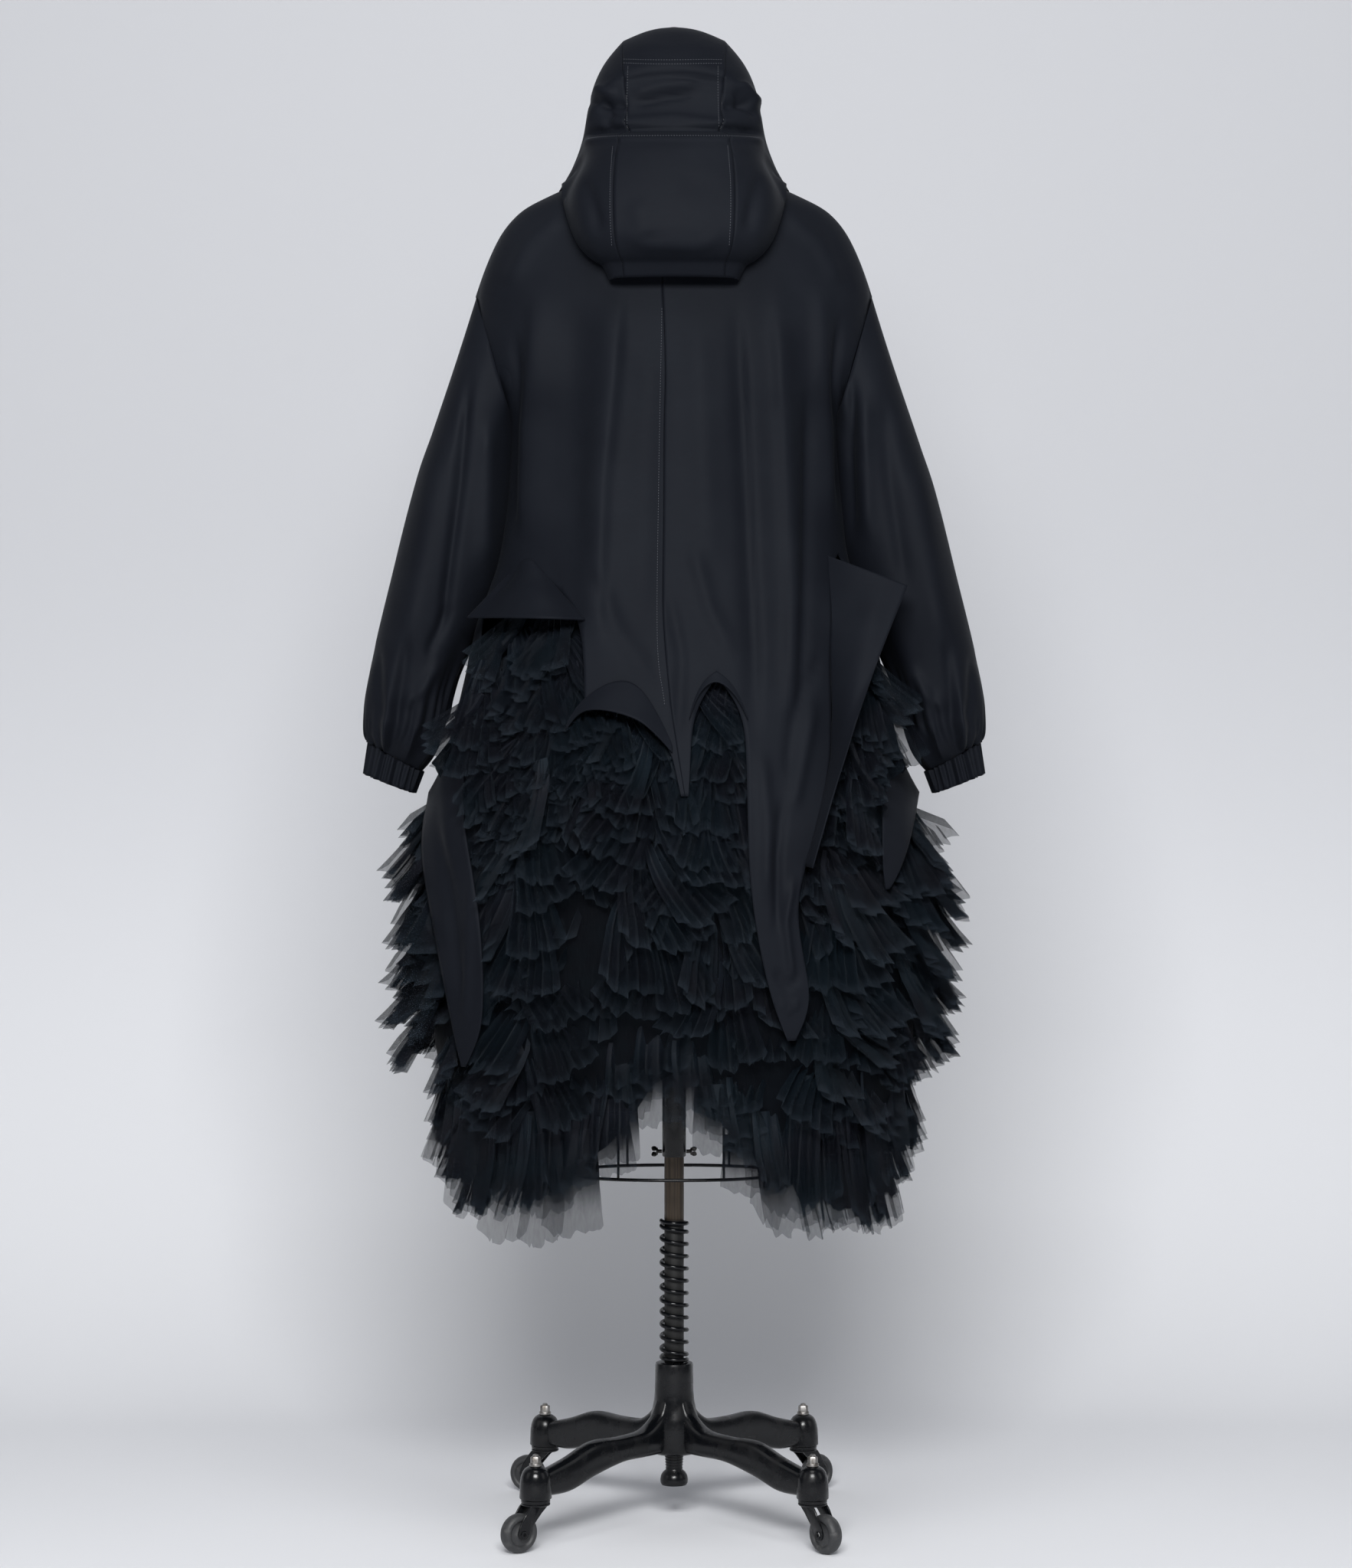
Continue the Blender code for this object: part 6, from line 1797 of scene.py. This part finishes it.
    def column(self, recipe: Recipe) -> None:
        """The sliding tube, the clamping screws, the pole and its spring."""
        outer, bore, low = self.tube
        top = self.torso_low - self.gap
        shells = Shells()
        shells.turned(((bore, top), (outer, top), (outer, low + 0.0012), (outer - 0.0008, low), (bore, low)),
                      self.sides)
        self.frame.dress(shells.piece("sliding_tube", self.palette.tube), "tube_enamel", "form_tube")
        for label, side in (("left", -1.0), ("right", 1.0)):
            self._screw(f"thumbscrew_{label}", side)
        shells = Shells()
        radius = self.pole_radius
        shells.turned(((0.0, 0.800), (radius - 0.001, 0.800), (radius, 0.7985), (radius, 0.600),
                       (radius, 0.396), (radius - 0.0002, 0.3955), (radius, 0.395), (radius, 0.101),
                       (radius - 0.001, 0.100), (0.0, 0.100)), self.sides)
        self.frame.dress(shells.piece("turned_pole", self.palette.wood, 60.0), "pole_wood", "pole")
        self.spring(recipe)

    def _screw(self, node: str, side: float) -> None:
        """A winged screw that clamps the tube to the pole."""
        place = Matrix.Translation((0.0, 0.0, self.screw_z)) @ Matrix.Rotation(side * math.pi / 2.0, 4, "Y")
        shells = Shells()
        shells.turned(self.SCREW, 24, place=place)
        for angle in (0.5, 3.64):
            wing = place @ Matrix.Rotation(angle, 4, "Z") @ Matrix.Translation(self.wing_at)
            shells.lofted([[wing @ Vector((reach, thick * math.sin(turn * math.pi / 6.0),
                                           tall * math.cos(turn * math.pi / 6.0))) for turn in range(12)]
                           for reach, tall, thick in self.WING])
        self.frame.dress(shells.piece(f"winged_{node}", self.palette.blued, 45.0), "screw_steel", node)

    def spring(self, recipe: Recipe) -> None:
        """The coil spring round the pole. Its end turns lie flat."""
        per_turn = self.turn_points
        low = self.spring_span[0] + self.spring_wire + 0.0004
        high = self.spring_span[1] - self.spring_wire
        count = int(self.spring_turns * per_turn)
        flat = self.spring_wire * 2.0 + 0.0012
        heights = np.interp(np.arange(count + 1), [0, per_turn, count - per_turn, count],
                            [low, low + flat, high - flat, high])
        path = [(self.spring_radius * math.cos(2.0 * math.pi * at / per_turn),
                 -self.spring_radius * math.sin(2.0 * math.pi * at / per_turn), z)
                for at, z in enumerate(heights)]
        coil = self._wire(recipe, "coil_spring", [path], False, self.spring_wire, 14, self.palette.spring)
        self.frame.dress(coil, "spring_wire", "spring")
        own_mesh(coil)

    def base(self) -> None:
        """The cast hub with four arched legs that end in bells, and the foot of the pole."""
        shells = Shells()
        shells.turned(self.HUB, self.sides)
        rows = smooth_rows([(leg.reach, leg.top, leg.low, leg.half_width) for leg in self.LEG], 6)
        reach = self.spread * math.sqrt(2.0)
        for number in range(4):
            bearing = math.radians(45.0 + 90.0 * number)
            out_x, out_y = math.cos(bearing), math.sin(bearing)
            rings = []
            for far, top, low, half in rows:
                middle, tall = (top + low) / 2.0, (top - low) / 2.0
                ring = []
                for turn in range(20):
                    across = half * rounded(math.cos(math.pi * turn / 10.0), 0.62)
                    up = tall * rounded(math.sin(math.pi * turn / 10.0), 0.50)
                    ring.append((out_x * far - out_y * across, out_y * far + out_x * across, middle + up))
                rings.append(ring)
            shells.lofted(rings)
            shells.turned(self.BELL, 32, (reach * out_x, reach * out_y))
        self.frame.dress(shells.piece("cast_base", self.palette.casting, 50.0), "base_enamel", "base")
        shells = Shells()
        shells.turned(self.FOOT, 36)
        for turn in range(7):
            z = self.thread_low + self.thread_pitch * turn
            radius = 0.0106 + (z - self.thread_low) * 0.0625
            shells.turned(((radius - 0.0006, z + 0.0012), (radius + 0.0007, z + 0.0005),
                           (radius + 0.0007, z - 0.0002), (radius - 0.0006, z - 0.0010)), 36)
        self.frame.dress(shells.piece("pole_foot", self.palette.casting, 50.0), "base_enamel", "foot")

    def _axle(self, spot: CasterSpot) -> Matrix:
        """The turn and shift from a wheel that lies flat at the origin to a caster's axle."""
        centre = Matrix.Translation((self.trail, 0.0, self.wheel[0]))
        return spot.place() @ centre @ Matrix.Rotation(math.pi / 2.0, 4, "X")

    def _fork(self, spot: CasterSpot) -> None:
        """The fork of one caster: its race, its two bent arms, the axle and its nuts."""
        width = self.wheel[1]
        place = spot.place()
        shells = Shells()
        shells.turned(self.RACE, 36, place=place)
        outline = smooth_rows(self.ARM, 4)
        middle = outline.mean(axis=0)
        away = outline - middle
        inner, outer = (width / 2.0 + wall for wall in self.fork_wall)
        for side in (1.0, -1.0):
            rings = []
            for offset, inset in ((inner, 0.0006), (inner + 0.0004, 0.0),
                                  (outer - 0.0006, 0.0), (outer, 0.0008)):
                drawn = middle + away * (1.0 - inset / np.linalg.norm(away, axis=1, keepdims=True))
                rings.append([place @ Vector((x, side * offset, z)) for x, z in drawn])
            shells.lofted(rings)
        across = self._axle(spot)
        reach = width / 2.0 + self.axle_end
        shells.turned(((0.0, reach), (0.0024, reach), (0.0029, reach - 0.0004),
                       (0.0029, 0.0004 - reach), (0.0024, -reach), (0.0, -reach)), 24, place=across)
        nut = ((0.0, reach), (0.0046, reach), (0.0050, reach - 0.0004),
               (0.0050, reach - 0.0014), (0.0, reach - 0.0014))
        for side in (1.0, -1.0):
            shells.turned([(radius, side * z) for radius, z in nut], 6, place=across)
        self.frame.dress(shells.piece(f"caster_fork_{spot.name}", self.palette.casting, 40.0),
                         self._slot(f"fork_{spot.name}"), f"fork_{spot.name}")

    def _slot(self, node: str) -> str:
        """The record's slot that a frame node carries, without its number."""
        return self.frame.nodes[node].data.materials[0].name.split(".")[0]

    def _wheel(self, spot: CasterSpot) -> None:
        """One wheel with a rounded tread and a dished hub."""
        _, width, bore = self.wheel
        half = width / 2.0
        profile = [(bore, half - 0.0008), (0.0060, half - 0.0004), (0.0072, half - 0.0014),
                   (0.0120, half - 0.0032), (0.0150, half - 0.0032), (0.0168, half - 0.0008),
                   (0.0195, half - 0.0002), (0.0222, half - 0.0016), (0.0240, half - 0.0044),
                   (0.0249, half - 0.0072)]
        whole = profile + [(ring, -z) for ring, z in reversed(profile)]
        shells = Shells()
        shells.turned(whole, self.sides, place=self._axle(spot))
        self.frame.dress(shells.piece(f"caster_wheel_{spot.name}", self.palette.rubber, 50.0),
                         "tread_rubber", f"wheel_{spot.name}")

    def _bolt(self, spot: CasterSpot) -> None:
        """The nut and washer that hold one caster."""
        shells = Shells()
        for sides, profile in self.NUTS:
            shells.turned(profile, sides, (spot.x, spot.y))
        self.frame.dress(shells.piece(f"caster_bolt_{spot.name}", self.palette.steel, 40.0),
                         "screw_steel", f"bolt_{spot.name}")

    def build(self) -> None:
        """Makes the form and the whole stand."""
        recipe = self._wire_recipe()
        self.form()
        self.cage(recipe)
        self.column(recipe)
        self.base()
        for spot in self.CASTERS:
            self._fork(spot)
            self._wheel(spot)
            self._bolt(spot)


# ---------------------------------------------------------------- the studio
@dataclass(frozen=True)
class Softbox:
    """One large soft light."""

    name: str
    place: Point
    aim: Point
    size: Spot
    power: float


@dataclass
class Room:
    """The pale sweep, the soft lights and the camera."""

    wall_y: float = 1.55
    bend: float = 0.90
    half_width: float = 5.0
    near: float = -8.0
    height: float = 4.2
    distance: float = 4.895
    eye: float = 1.059
    lens: float = 86.09
    pitch: float = 1.094
    shift: float = 0.0012
    sensor: float = 36.0
    bend_steps: int = 24
    sky: Colour = (0.86, 0.89, 0.95)
    sky_power: float = 0.17

    LIGHTS = (
        Softbox("key_left", (-0.50, -4.0, 2.60), (0.0, 0.0, 0.80), (0.9, 0.9), 102.0),
        Softbox("key_right", (0.40, -4.0, 2.60), (0.0, 0.0, 0.80), (0.9, 0.9), 100.0),
        Softbox("overhead", (0.0, -1.3, 3.6), (0.0, -0.1, 1.5), (1.4, 1.2), 26.0),
        Softbox("side_left", (-3.4, -1.4, 2.2), (0.0, 0.0, 1.2), (1.6, 2.4), 10.0),
        Softbox("side_right", (3.4, -1.4, 2.2), (0.0, 0.0, 1.2), (1.6, 2.4), 10.0),
    )

    def sweep(self) -> None:
        """The floor that bends up into the backdrop."""
        rows = [(self.near, 0.0), (self.wall_y - self.bend, 0.0)]
        for number in range(1, self.bend_steps + 1):
            turn = math.pi / 2.0 * number / self.bend_steps
            rows.append((self.wall_y - self.bend + self.bend * math.sin(turn),
                         self.bend - self.bend * math.cos(turn)))
        rows.append((self.wall_y, self.height))
        points = [(x, y, z) for y, z in rows for x in (-self.half_width, self.half_width)]
        faces = [[row * 2, row * 2 + 1, row * 2 + 3, row * 2 + 2] for row in range(len(rows) - 1)]
        mesh = bpy.data.meshes.new("sweep")
        mesh.from_pydata(points, [], faces)
        mesh.materials.append(Studio().material())
        mesh.shade_smooth()
        link_mesh("sweep", mesh)

    def lights(self) -> None:
        """The soft lights and a pale world."""
        for box in self.LIGHTS:
            lamp = bpy.data.lights.new(box.name, "AREA")
            lamp.shape = "RECTANGLE"
            lamp.size, lamp.size_y = box.size
            lamp.energy = box.power
            made = bpy.data.objects.new(box.name, lamp)
            made.location = box.place
            made.rotation_euler = (Vector(box.aim) - Vector(box.place)).to_track_quat("-Z", "Y").to_euler()
            bpy.context.scene.collection.objects.link(made)
        world = bpy.data.worlds.new("pale_room")
        world.use_nodes = True
        sky = world.node_tree.nodes["Background"]
        sky.inputs[0].default_value = (*self.sky, 1.0)
        sky.inputs[1].default_value = self.sky_power
        bpy.context.scene.world = world

    def camera(self) -> None:
        """The camera at the photograph's place."""
        eye = bpy.data.cameras.new("view")
        eye.lens = self.lens
        eye.sensor_width = self.sensor
        eye.shift_x = self.shift
        eye.clip_end = 50.0
        made = bpy.data.objects.new("view", eye)
        made.location = (0.0, -self.distance, self.eye)
        made.rotation_euler = (math.radians(90.0 - self.pitch), 0.0, 0.0)
        bpy.context.scene.collection.objects.link(made)
        bpy.context.scene.camera = made
        bpy.context.scene.view_settings.view_transform = "Standard"

    def build(self) -> None:
        """Sets up the whole room."""
        self.sweep()
        self.lights()
        self.camera()


def main() -> None:
    """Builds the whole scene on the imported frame."""
    logging.basicConfig(level=logging.INFO, format="%(name)s: %(message)s")
    for stray in list(bpy.data.objects):
        bpy.data.objects.remove(stray)
    frame = Frame.load()
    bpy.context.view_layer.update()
    palette = Palette.build()
    Room().build()
    coat = Coat(frame, palette)
    coat.build()
    Stitching(frame, palette, coat).build()
    Ruffles(frame, palette, coat).build()
    Stand(frame, palette).build()


if __name__ == "__main__":
    main()
